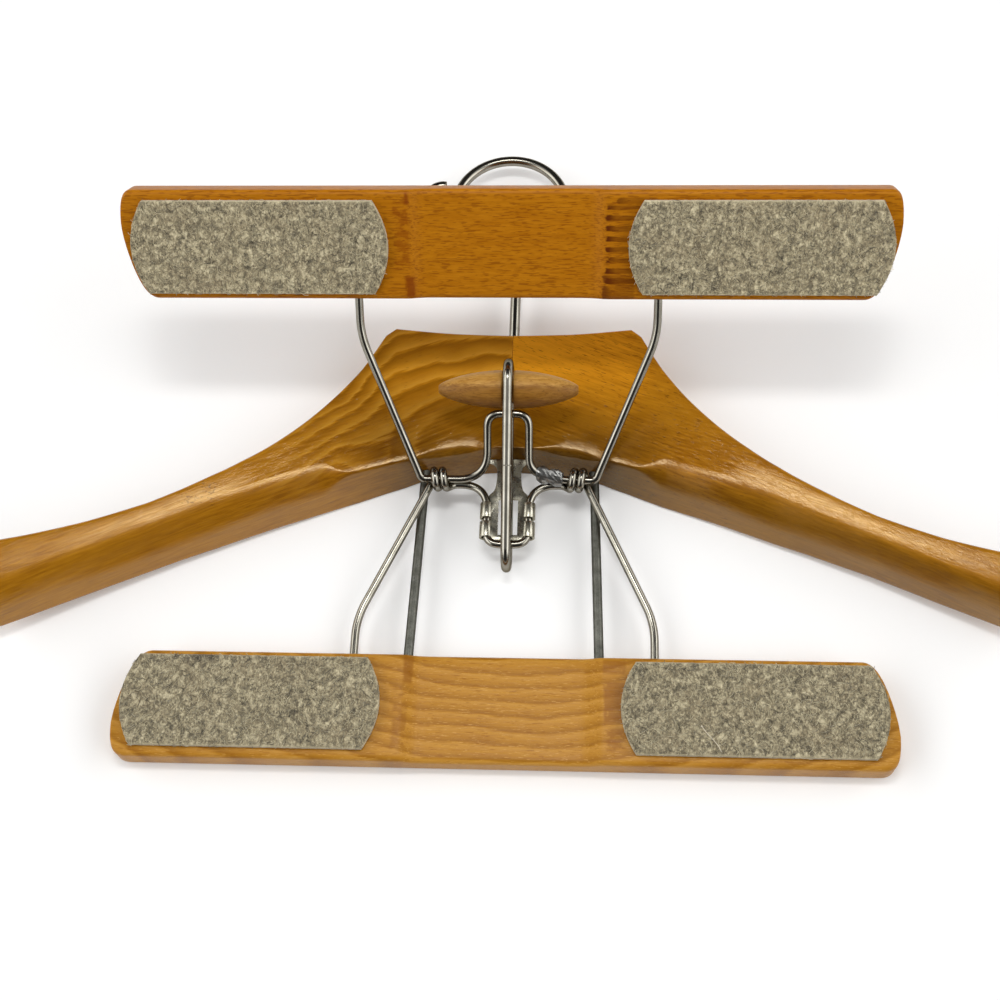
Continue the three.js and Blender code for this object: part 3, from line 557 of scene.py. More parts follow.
nickelWire = metalMaterial(
    "nickelWire", (0.355, 0.335, 0.285), (0.255, 0.238, 0.196), (0.16, 0.14, 0.11), edge=(0.34, 0.31, 0.27),
    cloudSize=160.0, pitLimit=0.68, rough=(0.13, 0.22), bump=0.05,
)
zincWire = metalMaterial(
    "zincWire", (0.160, 0.160, 0.138), (0.098, 0.098, 0.083), (0.05, 0.05, 0.043), edge=(0.20, 0.20, 0.185),
    cloudSize=320.0, pitLimit=0.58, rough=(0.38, 0.52), bump=0.15,
)
sheetNickel = metalMaterial(
    "sheetNickel", (0.52, 0.50, 0.42), (0.30, 0.28, 0.21), (0.10, 0.08, 0.05), edge=(0.5, 0.48, 0.42),
    cloudSize=420.0, pitLimit=0.60, rough=(0.20, 0.36), bump=0.12,
)
ferruleTin = metalMaterial(
    "ferruleTin", (0.44, 0.44, 0.42), (0.25, 0.25, 0.24), (0.10, 0.10, 0.10), edge=(0.4, 0.4, 0.4),
    cloudSize=600.0, pitLimit=0.62, rough=(0.26, 0.42), bump=0.25,
)
print("metal finishes made")


# grey wool felt: mixed pale and dark fibres, clumps, a paler cut rim
feltColours = {
    "dark": (0.048, 0.039, 0.023), "middle": (0.308, 0.256, 0.148), "pale": (0.84, 0.74, 0.485),
    "rim": (0.56, 0.485, 0.305), "warm": (0.30, 0.225, 0.12),
}
feltSet = {
    "strand": (1500, 1050, 1200), "clump": (380, 290, 300), "tuft": (420, 330, 400), "fieldSize": 75.0,
    "rimDepth": 0.7, "rearShade": 0.86, "bump": 0.55, "bumpDepth": 0.0006, "clumpHeight": 0.8,
    "rough": 0.95, "sheen": 0.25, "sheenRough": 0.6, "darkEdges": (0.33, 0.50), "paleEdges": (0.53, 0.72),
    "layers": (
        ("clumps", (0.52, 0.66), 0.60, "pale"), ("clumps", (0.47, 0.34), 0.66, "dark"),
        ("tufts", (0.22, 0.09), 0.50, "pale"), ("fields", (0.45, 0.75), 0.30, "warm"),
    ),
}
soilSet = {
    "colour": (0.06, 0.045, 0.028), "place": (0.1235, 0.0805, 0.1195), "size": (0.011, 0.0045, 0.01),
    "ragged": 1.6, "edge": (1.0, 0.4), "depth": 0.75,
}


def feltMaterial(name, colours, soil=None):
    f = feltSet
    sheen = {"Sheen_Weight": f["sheen"], "Sheen_Roughness": f["sheenRough"]}
    mat, t, shader = newMaterial(name, Roughness=f["rough"], **sheen)
    place = attribute(t, "board")
    strands = streaks(t, place, f["strand"], 5.0, 0.68)
    clumps = streaks(t, place, f["clump"], 4.0, 0.62)
    fields = cloud(t, place, f["fieldSize"])
    sets = {"Vector": vectorCalc(t, "MULTIPLY", place, f["tuft"]), "Scale": 1.0, "Randomness": 1.0}
    tufts = put(t, "ShaderNodeTexVoronoi", sets, feature="F1").outputs["Distance"]
    tone = blend(t, spread(t, strands, *f["darkEdges"]), colours["dark"], colours["middle"])
    tone = blend(t, spread(t, strands, *f["paleEdges"]), tone, colours["pale"])
    patterns = {"clumps": clumps, "tufts": tufts, "fields": fields}
    for pattern, edges, depth, colour in f["layers"]:
        tone = blend(t, times(t, spread(t, patterns[pattern], *edges), depth), tone, colours[colour])
    tone = blend(t, times(t, attribute(t, "rim", "Fac"), f["rimDepth"]), tone, colours["rim"])
    if soil:
        shape = vectorCalc(t, "DIVIDE", vectorCalc(t, "SUBTRACT", place, soil["place"]), soil["size"])
        ragged = plus(t, lengthOf(t, shape), times(t, minus(t, clumps, 0.5), soil["ragged"]))
        tone = blend(t, spread(t, ragged, *soil["edge"], 0.0, soil["depth"]), tone, soil["colour"])
    lift = plus(t, strands, times(t, clumps, f["clumpHeight"]))
    feed(t, shader, Base_Color=tone, Normal=bumped(t, lift, f["bump"], f["bumpDepth"]))
    return mat


# painted shade: the rear pads' felt is a copy of the front pads' felt darkened by rearShade; soilSet adds a
# real dirt mark on one of them
shadedRearColours = {key: tuple(feltSet["rearShade"] * c for c in value) for key, value in feltColours.items()}
greyFelt = feltMaterial("greyFelt", feltColours)
shadedFelt = feltMaterial("shadedFelt", shadedRearColours)
shadedSoiledFelt = feltMaterial("shadedSoiledFelt", shadedRearColours, soilSet)


fuzzLook = {"rough": 0.9, "sheen": 0.2, "driftSize": 240.0, "drift": 2.0}


def fuzzMaterial(name, dark, pale):
    f = fuzzLook
    mat, t, shader = newMaterial(name, Roughness=f["rough"], Sheen_Weight=f["sheen"])
    drift = times(t, minus(t, cloud(t, coordinate(t), f["driftSize"], 3.0), 0.5), f["drift"])
    feed(t, shader, Base_Color=blend(t, plus(t, attribute(t, "shade", "Fac"), drift), dark, pale))
    return mat


feltFuzz = fuzzMaterial("feltFuzz", (0.062, 0.051, 0.031), (0.76, 0.67, 0.45))
# painted shade: the rear fibres are the front fibres' colours darkened by the same share
shadedRearFuzz = fuzzMaterial("shadedRearFuzz", (0.053, 0.044, 0.027), (0.65, 0.58, 0.39))
looseThread = fuzzMaterial("looseThread", (0.70, 0.63, 0.48), (0.76, 0.69, 0.54))
print("felt finishes made")


# mesh helpers
def shadeFaces(mesh, smoothed=True, sharpAngle=None):
    for face in mesh.polygons:
        face.use_smooth = smoothed
    if sharpAngle:
        mesh.set_sharp_from_angle(angle=math.radians(sharpAngle))


def addPiece(name, verts, faces, material, smoothed=True, sharpAngle=None):
    mesh = bpy.data.meshes.new(name)
    mesh.from_pydata(verts, [], faces)
    mesh.update()
    shadeFaces(mesh, smoothed, sharpAngle)
    mesh.materials.append(material)
    return addObject(name, mesh)


def loftFaces(rings, sides):
    faces = []
    for i in range(rings - 1):
        for j in range(sides):
            k = (j + 1) % sides
            faces.append((i * sides + j, i * sides + k, (i + 1) * sides + k, (i + 1) * sides + j))
    return faces + [tuple(reversed(range(sides))), tuple(range((rings - 1) * sides, rings * sides))]


def loftPiece(name, rings, material, sharpAngle=None):
    verts = [p for ring in rings for p in ring]
    return addPiece(name, verts, loftFaces(len(rings), len(rings[0])), material, True, sharpAngle)


def settle(piece):
    # what the modifiers give, as a plain mesh
    seen = piece.evaluated_get(bpy.context.evaluated_depsgraph_get())
    mesh = bpy.data.meshes.new_from_object(seen)
    old = piece.data
    piece.modifiers.clear()
    piece.data = mesh
    bpy.data.meshes.remove(old)


def finishPiece(piece, body, slot, *nodes):
    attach(piece, body)
    if nodes:
        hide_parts(*nodes)


def setMaterial(mesh, material):
    mesh.materials.clear()
    mesh.materials.append(material)


def lerp(a, b, t):
    return a + (b - a) * t


def smooth(x, low, high):
    t = min(max((x - low) / (high - low), 0.0), 1.0)
    return t * t * (3 - 2 * t)


def plateau(x, rise, drop):
    return smooth(x, *rise) * (1 - smooth(x, *drop))


def bothWays(xs):
    return [-x for x in reversed(xs[1:])] + xs


def roundedRun(start, length, steps):
    # closer steps towards a rounded end
    return [start + length * math.sin(math.pi / 2 * i / steps) for i in range(steps + 1)]


# hinge line, and the two jaws that turn on it
hingeSet = {"y": -26.15, "z": 15.9, "raise": math.radians(47)}


def onHanger(p):
    return Vector((p[0], p[1] + hingeSet["y"], p[2])) * mm


def onRear(p):
    return Vector((-p[0], hingeSet["y"] - p[1], hingeSet["z"] + p[2])) * mm


def onFront(p):
    c, s = math.cos(hingeSet["raise"]), math.sin(hingeSet["raise"])
    return Vector((p[0], hingeSet["y"] + p[1] * c - p[2] * s, hingeSet["z"] + p[1] * s + p[2] * c)) * mm


# wooden body
bodySet = {
    "toBody": 10.6, "neckTop": 72.5, "neckHalf": 57.0, "neckCorner": 4.4, "cornerDrop": 3.0, "neckDish": 2.0,
    "halfSpan": 225.0, "armHeight": 26.5, "endGrowth": 9.0, "growthStart": 145.0, "armSlope": 0.5,
    "archReach": 70.0, "flareEnd": 135.0, "flarePower": 2.5, "thick": 18.5, "armThick": 22.5, "slant": 3.6,
    "roll": 5.0, "rollPower": 2.9, "armLift": 9.0, "liftPower": 1.7, "flatBack": 60.0, "endRound": 13.0,
    "endTaper": 0.9, "blendStart": 48.0, "blendEnd": 104.0, "wobble": 0.16, "wobbleSize": 0.045,
    "wobbleFrom": 2.0, "wobbleRise": (0.5, 6.0), "seamBevel": 0.22, "seamRings": (0.05, 0.27),
    "neckStart": 1.2, "sharpAngle": 38, "cornerSteps": 9, "cornerShare": 0.95, "flatSteps": 18,
    "crowding": 2.2, "neckSteps": 42, "edgeSteps": 6, "armSteps": 100, "endSteps": 16,
}
leftArris = {
    "end": 66.0, "ridge": 90.0, "hump": 16.0, "roll": (100.0, 138.0), "wornFrom": (10.0, 15.0),
    "wornTo": (28.0, 34.0),
    "trim": (  # how far out, and how far the lower and upper edges are trimmed there
        (0, 0, 0.5), (26, 0, 0.8), (40, 0, 1.3), (46, -1, 1.6), (53, -1.5, 1.8), (58, -1.9, 1.0),
        (66, -2.5, -1.8), (88, -3, -1.8), (114, -2.6, -1.4), (127, -2.4, -2.2), (139, -2, -3.7),
        (152, -2, -4.6), (178, -2, -4.3), (204, -2.2, -3.3), (225, -2, -2.3),
    ),
}
rightArris = {
    "end": 53.0, "ridge": 76.0, "hump": 15.0, "roll": (84.0, 116.0), "wornFrom": (19.0, 25.0),
    "wornTo": (36.0, 43.0),
    "trim": (
        (0, 0, 0.5), (26, 0, 0.8), (40, 0, 1.3), (46, -1, 1.6), (53, -1.6, 1.8), (58, -2.2, 1.0),
        (66, -2.9, -1.3), (75, -3, -1.9), (101, -2.6, -1.5), (114, -2.2, -2.1), (127, -1.3, -3.6),
        (140, -0.7, -5.4), (153, 0, -6.6), (179, 0, -6.7), (204, 0.5, -5.5), (225, 0, -2.5),
    ),
}
edgeSet = {
    "reach": 3.4, "radius": 11.0, "wornReach": 8.5, "wornRadius": 34.0, "lead": 4.0,
    "keen": (0.4, 0.8), "keenRun": (8, 14), "soft": 2.2, "softFrom": (10, 22), "softTo": (30, 42),
    "armRadius": 10.5, "armRun": 40.0, "lowBack": (1.0, 2.5), "topBack": (1.6, 8.0), "topFront": (1.6, 3.2),
}


def lowerEdge(x):
    b = bodySet
    return b["toBody"] - b["armSlope"] * (math.hypot(x, b["archReach"]) - b["archReach"])


def upperEdge(x):
    b = bodySet
    cornerX = b["neckHalf"] - b["neckCorner"]
    if x <= cornerX:
        return b["neckTop"] - b["neckDish"] * (1 - (x / cornerX) ** 2)
    if x < b["neckHalf"]:
        return b["neckTop"] - b["cornerDrop"] * (x - cornerX) / b["neckCorner"]
    shoulder = b["neckTop"] - b["cornerDrop"] - lowerEdge(b["neckHalf"]) - b["armHeight"]
    left = min(max((b["flareEnd"] - x) / (b["flareEnd"] - b["neckHalf"]), 0), 1)
    grown = max(0, (x - b["growthStart"]) / (b["halfSpan"] - b["growthStart"]))
    return lowerEdge(x) + b["armHeight"] + shoulder * left ** b["flarePower"] + b["endGrowth"] * grown ** 2


def trimAt(out, trim):
    for a, b in zip(trim, trim[1:]):
        if a[0] <= out <= b[0]:
            t = (out - a[0]) / (b[0] - a[0])
            return lerp(a[1], b[1], t), lerp(a[2], b[2], t)
    return 0.0, 0.0


def sectionRing(halfY, halfZ, corners):
    # corner arcs with flats between them
    b = bodySet
    steps, widest = b["cornerSteps"], min(halfY, halfZ) * b["cornerShare"]
    arcs = []
    for i, (sy, sz, want) in enumerate(corners):
        r = min(want, widest)
        turns = [math.pi * (1 + (i + j / steps) / 2) for j in range(steps + 1)]
        arcs.append([(sy * (halfY - r) + math.cos(t) * r, sz * (halfZ - r) + math.sin(t) * r) for t in turns])
    ring = []
    for i, arc in enumerate(arcs):
        a, z = arc[-1], arcs[(i + 1) % len(arcs)][0]
        ring += arc
        for k in range(1, b["flatSteps"]):
            t = k / b["flatSteps"]
            t = 1 - (1 - t) ** b["crowding"] if i == 2 else t  # closer towards the front arris
            ring.append((lerp(a[0], z[0], t), lerp(a[1], z[1], t)))
    return ring


def bodySection(out, side, arris):
    b, e = bodySet, edgeSet
    arm = smooth(out, b["blendStart"], b["blendEnd"])
    past = max(0, out - (b["halfSpan"] - b["endRound"])) / b["endRound"]
    size = math.sqrt(1 - b["endTaper"] * past ** 2)
    back = b["armLift"] * max(0, (out - b["flatBack"]) / (b["halfSpan"] - b["flatBack"])) ** b["liftPower"]
    depth = lerp(b["thick"], b["armThick"], arm)
    midY, midZ = (lowerEdge(out) + upperEdge(out)) / 2, back + depth / 2
    halfY, halfZ = (upperEdge(out) - lowerEdge(out)) / 2 * size, depth / 2 * size
    lowFront = lerp(*e["keen"], smooth(out, *e["keenRun"]))
    lowFront += e["soft"] * plateau(out, e["softFrom"], e["softTo"])
    lowFront = lerp(lowFront, arris["hump"], smooth(out, arris["end"], arris["ridge"]))
    lowFront = lerp(lowFront, e["armRadius"], smooth(out, arris["ridge"], arris["ridge"] + e["armRun"]))
    corners = (
        (-1, -1, lerp(*e["lowBack"], arm)), (1, -1, lerp(*e["topBack"], arm)),
        (1, 1, lerp(*e["topFront"], arm)), (-1, 1, lowFront),
    )
    lowTrim, topTrim = trimAt(out, arris["trim"])
    weight = plateau(out, arris["wornFrom"], arris["wornTo"])
    reach, radius = lerp(e["reach"], e["wornReach"], weight), lerp(e["radius"], e["wornRadius"], weight)
    start, full = arris["wornFrom"]
    edged = plateau(out, (start - e["lead"], full), (arris["end"] - e["lead"], arris["ridge"]))
    tuck = b["seamBevel"] if out <= b["seamRings"][0] else 0.0
    points = []
    for y, z in sectionRing(halfY, halfZ, corners):
        down, upper = (1 - y / halfY) / 2, (1 + z / halfZ) / 2
        slant = b["slant"] * size * down * upper
        z -= b["roll"] * size * smooth(out, *arris["roll"]) * down ** b["rollPower"] * upper
        z -= edged * max(0, reach - (y + halfY)) ** 2 / (2 * radius) * upper
        trim = lowTrim * down * (1 - upper) + topTrim * (1 - down)
        p = Vector((side * out, midY + y * (1 - tuck / halfY) + slant + trim, midZ + z * (1 - tuck / halfZ)))
        if out > b["wobbleFrom"] and p.z > b["wobbleRise"][0]:
            rough = noise.noise(p * b["wobbleSize"] + Vector((side * 3, 0, 0)))
            p.z += b["wobble"] * rough * smooth(p.z, *b["wobbleRise"])
        points.append(onHanger(p))
    return points


def bodyStations():
    b = bodySet
    cornerX, armStart = b["neckHalf"] - b["neckCorner"], b["halfSpan"] - b["endRound"]
    xs = [*b["seamRings"], b["neckStart"]]
    runs = (
        (b["neckStart"], cornerX, "neckSteps"), (cornerX, b["neckHalf"], "edgeSteps"),
        (b["neckHalf"], armStart, "armSteps"),
    )
    for start, end, steps in runs:
        xs += [lerp(start, end, i / b[steps]) for i in range(1, b[steps] + 1)]
    return xs + roundedRun(armStart, b["endRound"], b["endSteps"])[1:]


legSet = {
    "topX": 36.8, "footX": 39.4, "footY": -78.0, "z": 6.5, "sunkTop": 12.0, "sunkFoot": 13.0, "radius": 2.0,
    "steps": 12, "sides": 24,
}
bodyCuts = {
    "play": 0.3, "boreZ": 9.25, "shankEnd": 47.5, "boreTop": 80.0, "boreRadius": 2.6, "collarY": (50.2, 54.8),
    "collarRadius": 5.3, "slotHalf": 9.3, "slotY": (3.0, 19.9), "slotZ": (8.95, 10.45),
    "nailX": 5.2, "nailY": 15.1, "nailRadius": 2.2, "nailZ": (-5.0, 1.4), "sides": 32,
}
boxFaces = [(0, 1, 3, 2), (4, 6, 7, 5), (0, 4, 5, 1), (2, 3, 7, 6), (0, 2, 6, 4), (1, 5, 7, 3)]


def legEnds(side, extra=0.0):
    g = legSet
    top = Vector((side * g["topX"], lowerEdge(g["topX"]), g["z"]))
    foot = Vector((side * g["footX"], g["footY"], g["z"]))
    along = (top - foot).normalized()
    return foot - along * (g["sunkFoot"] + extra), top + along * (g["sunkTop"] + extra)


def roundCutter(a, b, radius):
    a, b = onHanger(a), onHanger(b)
    turn = (b - a).to_track_quat("Z", "X").to_matrix()
    angles = [math.tau * i / bodyCuts["sides"] for i in range(bodyCuts["sides"])]
    circle = [turn @ Vector((math.cos(t) * radius * mm, math.sin(t) * radius * mm, 0)) for t in angles]
    return loftPiece("cutter", [[end + p for p in circle] for end in (a, b)], zincWire)


def makeBodyHalf(name, side, arris, material, node):
    xs = bodyStations()
    piece = loftPiece(name, [bodySection(x, side, arris) for x in (xs[::-1] if side < 0 else xs)], material)
    c = bodyCuts
    foot, top = legEnds(side, c["play"])
    nail = side * c["nailX"], c["nailY"]
    box = [onHanger((x, y, z)) for x in (-c["slotHalf"], c["slotHalf"]) for y in c["slotY"] for z in c["slotZ"]]
    cutters = [
        roundCutter((0, c["shankEnd"] - c["play"], c["boreZ"]), (0, c["boreTop"], c["boreZ"]), c["boreRadius"]),
        roundCutter((0, c["collarY"][0], c["boreZ"]), (0, c["collarY"][1], c["boreZ"]), c["collarRadius"]),
        roundCutter(foot, top, legSet["radius"] + c["play"]),
        roundCutter((*nail, c["nailZ"][0]), (*nail, c["nailZ"][1]), c["nailRadius"]),
        addPiece("cutter", box, boxFaces, zincWire),
    ]
    for cutter in cutters:
        cut = piece.modifiers.new("cut", "BOOLEAN")
        cut.operation = "DIFFERENCE"
        cut.solver = "EXACT"
        cut.object = cutter
    settle(piece)
    for cutter in cutters:
        bpy.data.objects.remove(cutter)
    setMaterial(piece.data, material)
    for face in piece.data.polygons:
        face.material_index = 0
    shadeFaces(piece.data, True, bodySet["sharpAngle"])
    finishPiece(piece, "hanger", "body_wood", node)


makeBodyHalf("left_half", -1, leftArris, leftBodyWood, "body_left_half")
makeBodyHalf("right_half", 1, rightArris, rightBodyWood, "body_right_half")
print("body made")


# wires: a round bar along a path
def makeWireTree():
    t = bpy.data.node_groups.new("wireAlongPath", "GeometryNodeTree")
    addSockets(t, "INPUT", Path="Geometry", Radius="Float", Sides="Int", Metal="Material")
    addSockets(t, "OUTPUT", Wire="Geometry")
    start = put(t, "NodeGroupInput").outputs
    line = put(t, "GeometryNodeMeshToCurve", {"Mesh": start["Path"]})
    sets = {"Resolution": start["Sides"], "Radius": start["Radius"]}
    ring = put(t, "GeometryNodeCurvePrimitiveCircle", sets, mode="RADIUS")
    sets = {"Curve": line.outputs[0], "Profile Curve": ring.outputs[0], "Fill Caps": True}
    tube = put(t, "GeometryNodeCurveToMesh", sets)
    real = put(t, "GeometryNodeRealizeInstances", {"Geometry": tube.outputs[0]})
    coat = put(t, "GeometryNodeSetMaterial", {"Geometry": real.outputs[0], "Material": start["Metal"]})
    put(t, "NodeGroupOutput", {"Wire": coat.outputs[0]})
    return t


wireTree = makeWireTree()


def runTree(piece, tree, **inputs):
    run = piece.modifiers.new(tree.name, "NODES")
    run.node_group = tree
    for item in tree.interface.items_tree:
        if item.item_type == "SOCKET" and item.in_out == "INPUT" and item.name in inputs:
            run[item.identifier] = inputs[item.name]
    settle(piece)


def layWire(name, points, radius, material, body, slot, *nodes, sides=20):
    mesh = bpy.data.meshes.new(name)
    mesh.from_pydata(points, [(i, i + 1) for i in range(len(points) - 1)], [])
    piece = addObject(name, mesh)
    runTree(piece, wireTree, Radius=radius * mm, Sides=sides, Metal=material)
    for face in piece.data.polygons:
        face.use_smooth = len(face.vertices) == 4  # the ends stay flat
    finishPiece(piece, body, slot, *nodes)


def bezier(points, steps):
    out = []
    for i in range(steps + 1):
        level = [Vector(p) for p in points]
        while len(level) > 1:
            level = [a.lerp(b, i / steps) for a, b in zip(level, level[1:])]
        out.append(level[0])
    return out


def bentPath(corners, steps=16):
    out = []
    for i, (point, trim) in enumerate(corners):
        point = Vector(point)
        if not trim:
            out.append(point)
            continue
        into = point + (Vector(corners[i - 1][0]) - point).normalized() * trim
        away = point + (Vector(corners[i + 1][0]) - point).normalized() * trim
        out.extend(bezier((into, point, away), steps))
    return out


wireSet = {
    "radius": 1.7, "frameHalf": 62.2, "bendReach": 61.0, "bendTrim": 8.0, "barNear": 78.0, "seat": 13.0,
    "midDrop": 9.4, "hingeHalf": 37.3, "hingeTrim": 2.2, "coilOuter": 33.2, "coilPitch": 3.7,
    "coilTurns": 1.75, "coilRadius": 3.75, "coilSteps": 98, "footY": 0.2, "footRun": 1.3,
    "footBend": (0.08, 0.65, 0.8), "footSteps": 18, "bumpHalf": 8.9, "bumpReach": 28.6, "bumpCorner": 6.0,
    "bumpTilt": math.radians(7.5), "rearFoot": 12.0, "sweepFoot": 13.0, "ferruleFoot": 6.5, "joint": 18.7,
    "endGap": 0.6, "footRise": 3.6, "footEnd": 25.0, "footTrim": 1.6,
}


def rearFramePath(w):
    r, steps = w["coilRadius"], w["coilSteps"]
    bar = bentPath([
        ((w["frameHalf"], w["barNear"] + w["seat"], -w["midDrop"]), 0),
        ((w["frameHalf"], w["bendReach"], -w["midDrop"]), w["bendTrim"]),
        ((w["coilOuter"], 0, -r), 0),
    ])[:-1]
    coil = []
    for i in range(steps + 1):
        turn = w["coilTurns"] * i / steps
        around = turn * math.tau
        x = w["coilOuter"] - w["coilPitch"] * turn
        coil.append(Vector((x, -r * math.sin(around), -r * math.cos(around))))
    end = coil[-1]
    footX, footY = end.x - r * w["footRun"], r * w["footY"]
    out, drop, back = (r * share for share in w["footBend"])
    foot = bezier(
        (end, (end.x - out, end.y, -drop), (footX + back, footY, -r), (footX, footY, -r)), w["footSteps"],
    )[1:]
    bump = bentPath([
        ((footX, footY, -r), 0), ((w["bumpHalf"], footY, -r), w["rearFoot"]),
        ((w["bumpHalf"], w["bumpReach"], -r), w["bumpCorner"]), ((0, w["bumpReach"], -r), 0),
    ])[1:-1]
    half = bar + coil + foot + bump
    return half + [Vector((-p.x, p.y, p.z)) for p in reversed(half)]


def frontSide(w, side):
    return [
        ((side * w["frameHalf"], w["barNear"] + w["seat"], -w["midDrop"]), 0),
        ((side * w["frameHalf"], w["bendReach"], -w["midDrop"]), w["bendTrim"]),
        ((side * w["hingeHalf"], 0, 0), w["hingeTrim"]),
    ]


def ferruleLine(x):
    w = wireSet
    return (x, w["footRise"] * (w["footEnd"] - x) / (w["footEnd"] - w["bumpHalf"]), 0)


def frontMainPath(w):
    reach = math.hypot(w["bumpReach"], w["coilRadius"])
    bumpY, bumpZ = reach * math.cos(w["bumpTilt"]), -reach * math.sin(w["bumpTilt"])
    return bentPath(frontSide(w, -1) + [
        ((-w["bumpHalf"], 0, 0), w["sweepFoot"]), ((-w["bumpHalf"], bumpY, bumpZ), w["bumpCorner"]),
        ((w["bumpHalf"], bumpY, bumpZ), w["bumpCorner"]), ((w["bumpHalf"], w["footRise"], 0), w["ferruleFoot"]),
        (ferruleLine(w["joint"] - w["endGap"] / 2), 0),
    ])


def frontRightPath(w):
    start = [(ferruleLine(w["joint"] + w["endGap"] / 2), 0), (ferruleLine(w["footEnd"]), w["footTrim"])]
    return bentPath(start + frontSide(w, 1)[::-1])


clampWires = (
    ("rear_wire", onRear, rearFramePath, "hanger", "rear_frame"),
    ("front_wire_main", onFront, frontMainPath, "front_jaw", "front_main_wire"),
    ("front_wire_right", onFront, frontRightPath, "front_jaw", "front_right_wire"),
)
for name, place, path, body, node in clampWires:
    layWire(name, [place(p) for p in path(wireSet)], wireSet["radius"], nickelWire, body, "nickel_wire", node)
for side, word in ((-1, "left"), (1, "right")):
    foot, top = legEnds(side)
    points = [onHanger(foot.lerp(top, i / legSet["steps"])) for i in range(legSet["steps"] + 1)]
    layWire(
        "leg_" + word, points, legSet["radius"], zincWire, "hanger", "zinc_wire", word + "_leg",
        sides=legSet["sides"],
    )
print("clamp wires made")


# hook
hookSet = {
    "radius": 2.3, "z": 9.25, "shankEnd": 47.5, "shankTop": 93.5, "centre": (-4.0, 148.0), "bend": 26.0,
    "join": math.radians(-52), "tip": math.radians(172), "curl": 6.8, "curlTurn": math.radians(272),
    "shankSteps": 10, "sweepSteps": 30, "arcSteps": 80, "curlSteps": 60, "sides": 24,
}


def turned(angle):
    return Vector((math.cos(angle), math.sin(angle), 0))


def hookPath(h):
    centre = Vector((*h["centre"], h["z"]))
    shankTop = Vector((0, h["shankTop"], h["z"]))
    join, tip = (centre + turned(h[key]) * h["bend"] for key in ("join", "tip"))
    reach = (join - shankTop).length / 3
    heading = Vector((-math.sin(h["join"]), math.cos(h["join"]), 0))
    shank = [
        Vector((0, lerp(h["shankEnd"], h["shankTop"], i / h["shankSteps"]), h["z"]))
        for i in range(h["shankSteps"])
    ]
    sweep = bezier((shankTop, shankTop + Vector((0, reach, 0)), join - heading * reach, join), h["sweepSteps"])
    arc = []
    for i in range(h["arcSteps"]):
        arc.append(centre + turned(lerp(h["join"], h["tip"], (i + 1) / h["arcSteps"])) * h["bend"])
    curlCentre = tip.lerp(centre, -h["curl"] / h["bend"])
    curl = []
    for i in range(h["curlSteps"]):
        turn = h["curlTurn"] * (i + 1) / h["curlSteps"]
        curl.append(curlCentre + turned(h["tip"] + math.pi - turn) * h["curl"])
    return shank + sweep + arc + curl


points = [onHanger(p) for p in hookPath(hookSet)]
layWire(
    "hook_wire", points, hookSet["radius"], nickelWire, "hook", "nickel_wire", "hook", sides=hookSet["sides"],
)
print("hook made")


# locking ring, bent from one wire with a butt joint on its front side
ringSet = {
    "wire": 2.1, "inner": 6.2, "tail": 11.9, "head": 2.7, "pivot": (-28.6, 12.15),
    "raise": math.radians(23.485), "oliveReach": 65.695, "jointAt": 33.0, "jointGap": 0.30, "bendSteps": 36,
    "sides": 24,
}


def onRing(p):
    c, s = math.cos(ringSet["raise"]), math.sin(ringSet["raise"])
    y, z = ringSet["pivot"]
    return onHanger((p[0], y + p[1] * c - p[2] * s, z + p[1] * s + p[2] * c))


def ringPath(g):
    r, joint, gap = g["inner"] + g["wire"], g["jointAt"], g["jointGap"] / 2
    near, far = -g["tail"] + g["inner"] + 2 * g["wire"], g["oliveReach"] + g["head"]

    def bend(at, start):
        angles = [start + math.pi * i / g["bendSteps"] for i in range(g["bendSteps"] + 1)]
        return [(0, at + math.cos(t) * r, math.sin(t) * r) for t in angles]

    points = [(0, joint - gap, r), (0, lerp(joint, near, 0.5), r)] + bend(near, math.pi / 2)
    points += [(0, lerp(near, far, k / 4), -r) for k in range(1, 4)]
    return points + bend(far, -math.pi / 2) + [(0, lerp(far, joint, 0.5), r), (0, joint + gap, r)]


points = [onRing(Vector(p)) for p in ringPath(ringSet)]
layWire(
    "ring_wire", points, ringSet["wire"], nickelWire, "lock", "nickel_wire", "locking_ring",
    sides=ringSet["sides"],
)


# turned olive with a groove for the ring
oliveSet = {
    "length": 59.2, "diameter": 16.4, "tip": 3.2, "fullness": 0.75, "groove": 2.4, "waist": 5.9, "lip": 0.5,
    "ease": 0.15, "tipRings": (0.6, 0.2), "steps": 40, "sides": 72, "sharpAngle": 40,
}


def makeOlive(o):
    half, tip, groove, lip, ease = o["length"] / 2, o["tip"] / 2, o["groove"], o["lip"], o["ease"]

    def radiusAt(x):
        return tip + (o["diameter"] / 2 - tip) * max(0.0, 1 - (x / half) ** 2) ** o["fullness"]

    right = [(0.0, o["waist"]), (groove - lip, o["waist"]), (groove, o["waist"] + lip)]
    right += [(groove, radiusAt(groove) - lip), (groove + ease, radiusAt(groove) - ease)]
    right += [(x, radiusAt(x)) for x in roundedRun(groove + lip, half - groove - lip, o["steps"])]
    right += [(half, tip * share) for share in o["tipRings"]]
    rings = []
    for x, r in [(-x, r) for x, r in reversed(right[1:])] + right:
        angles = [math.tau * i / o["sides"] for i in range(o["sides"])]
        rings.append([onRing((x, ringSet["oliveReach"] + r * math.cos(t), r * math.sin(t))) for t in angles])
    piece = loftPiece("olive_wood", rings, oliveWood, o["sharpAngle"])
    finishPiece(piece, "olive", "pale_wood", "toggle_olive")


makeOlive(oliveSet)
print("ring and olive made")


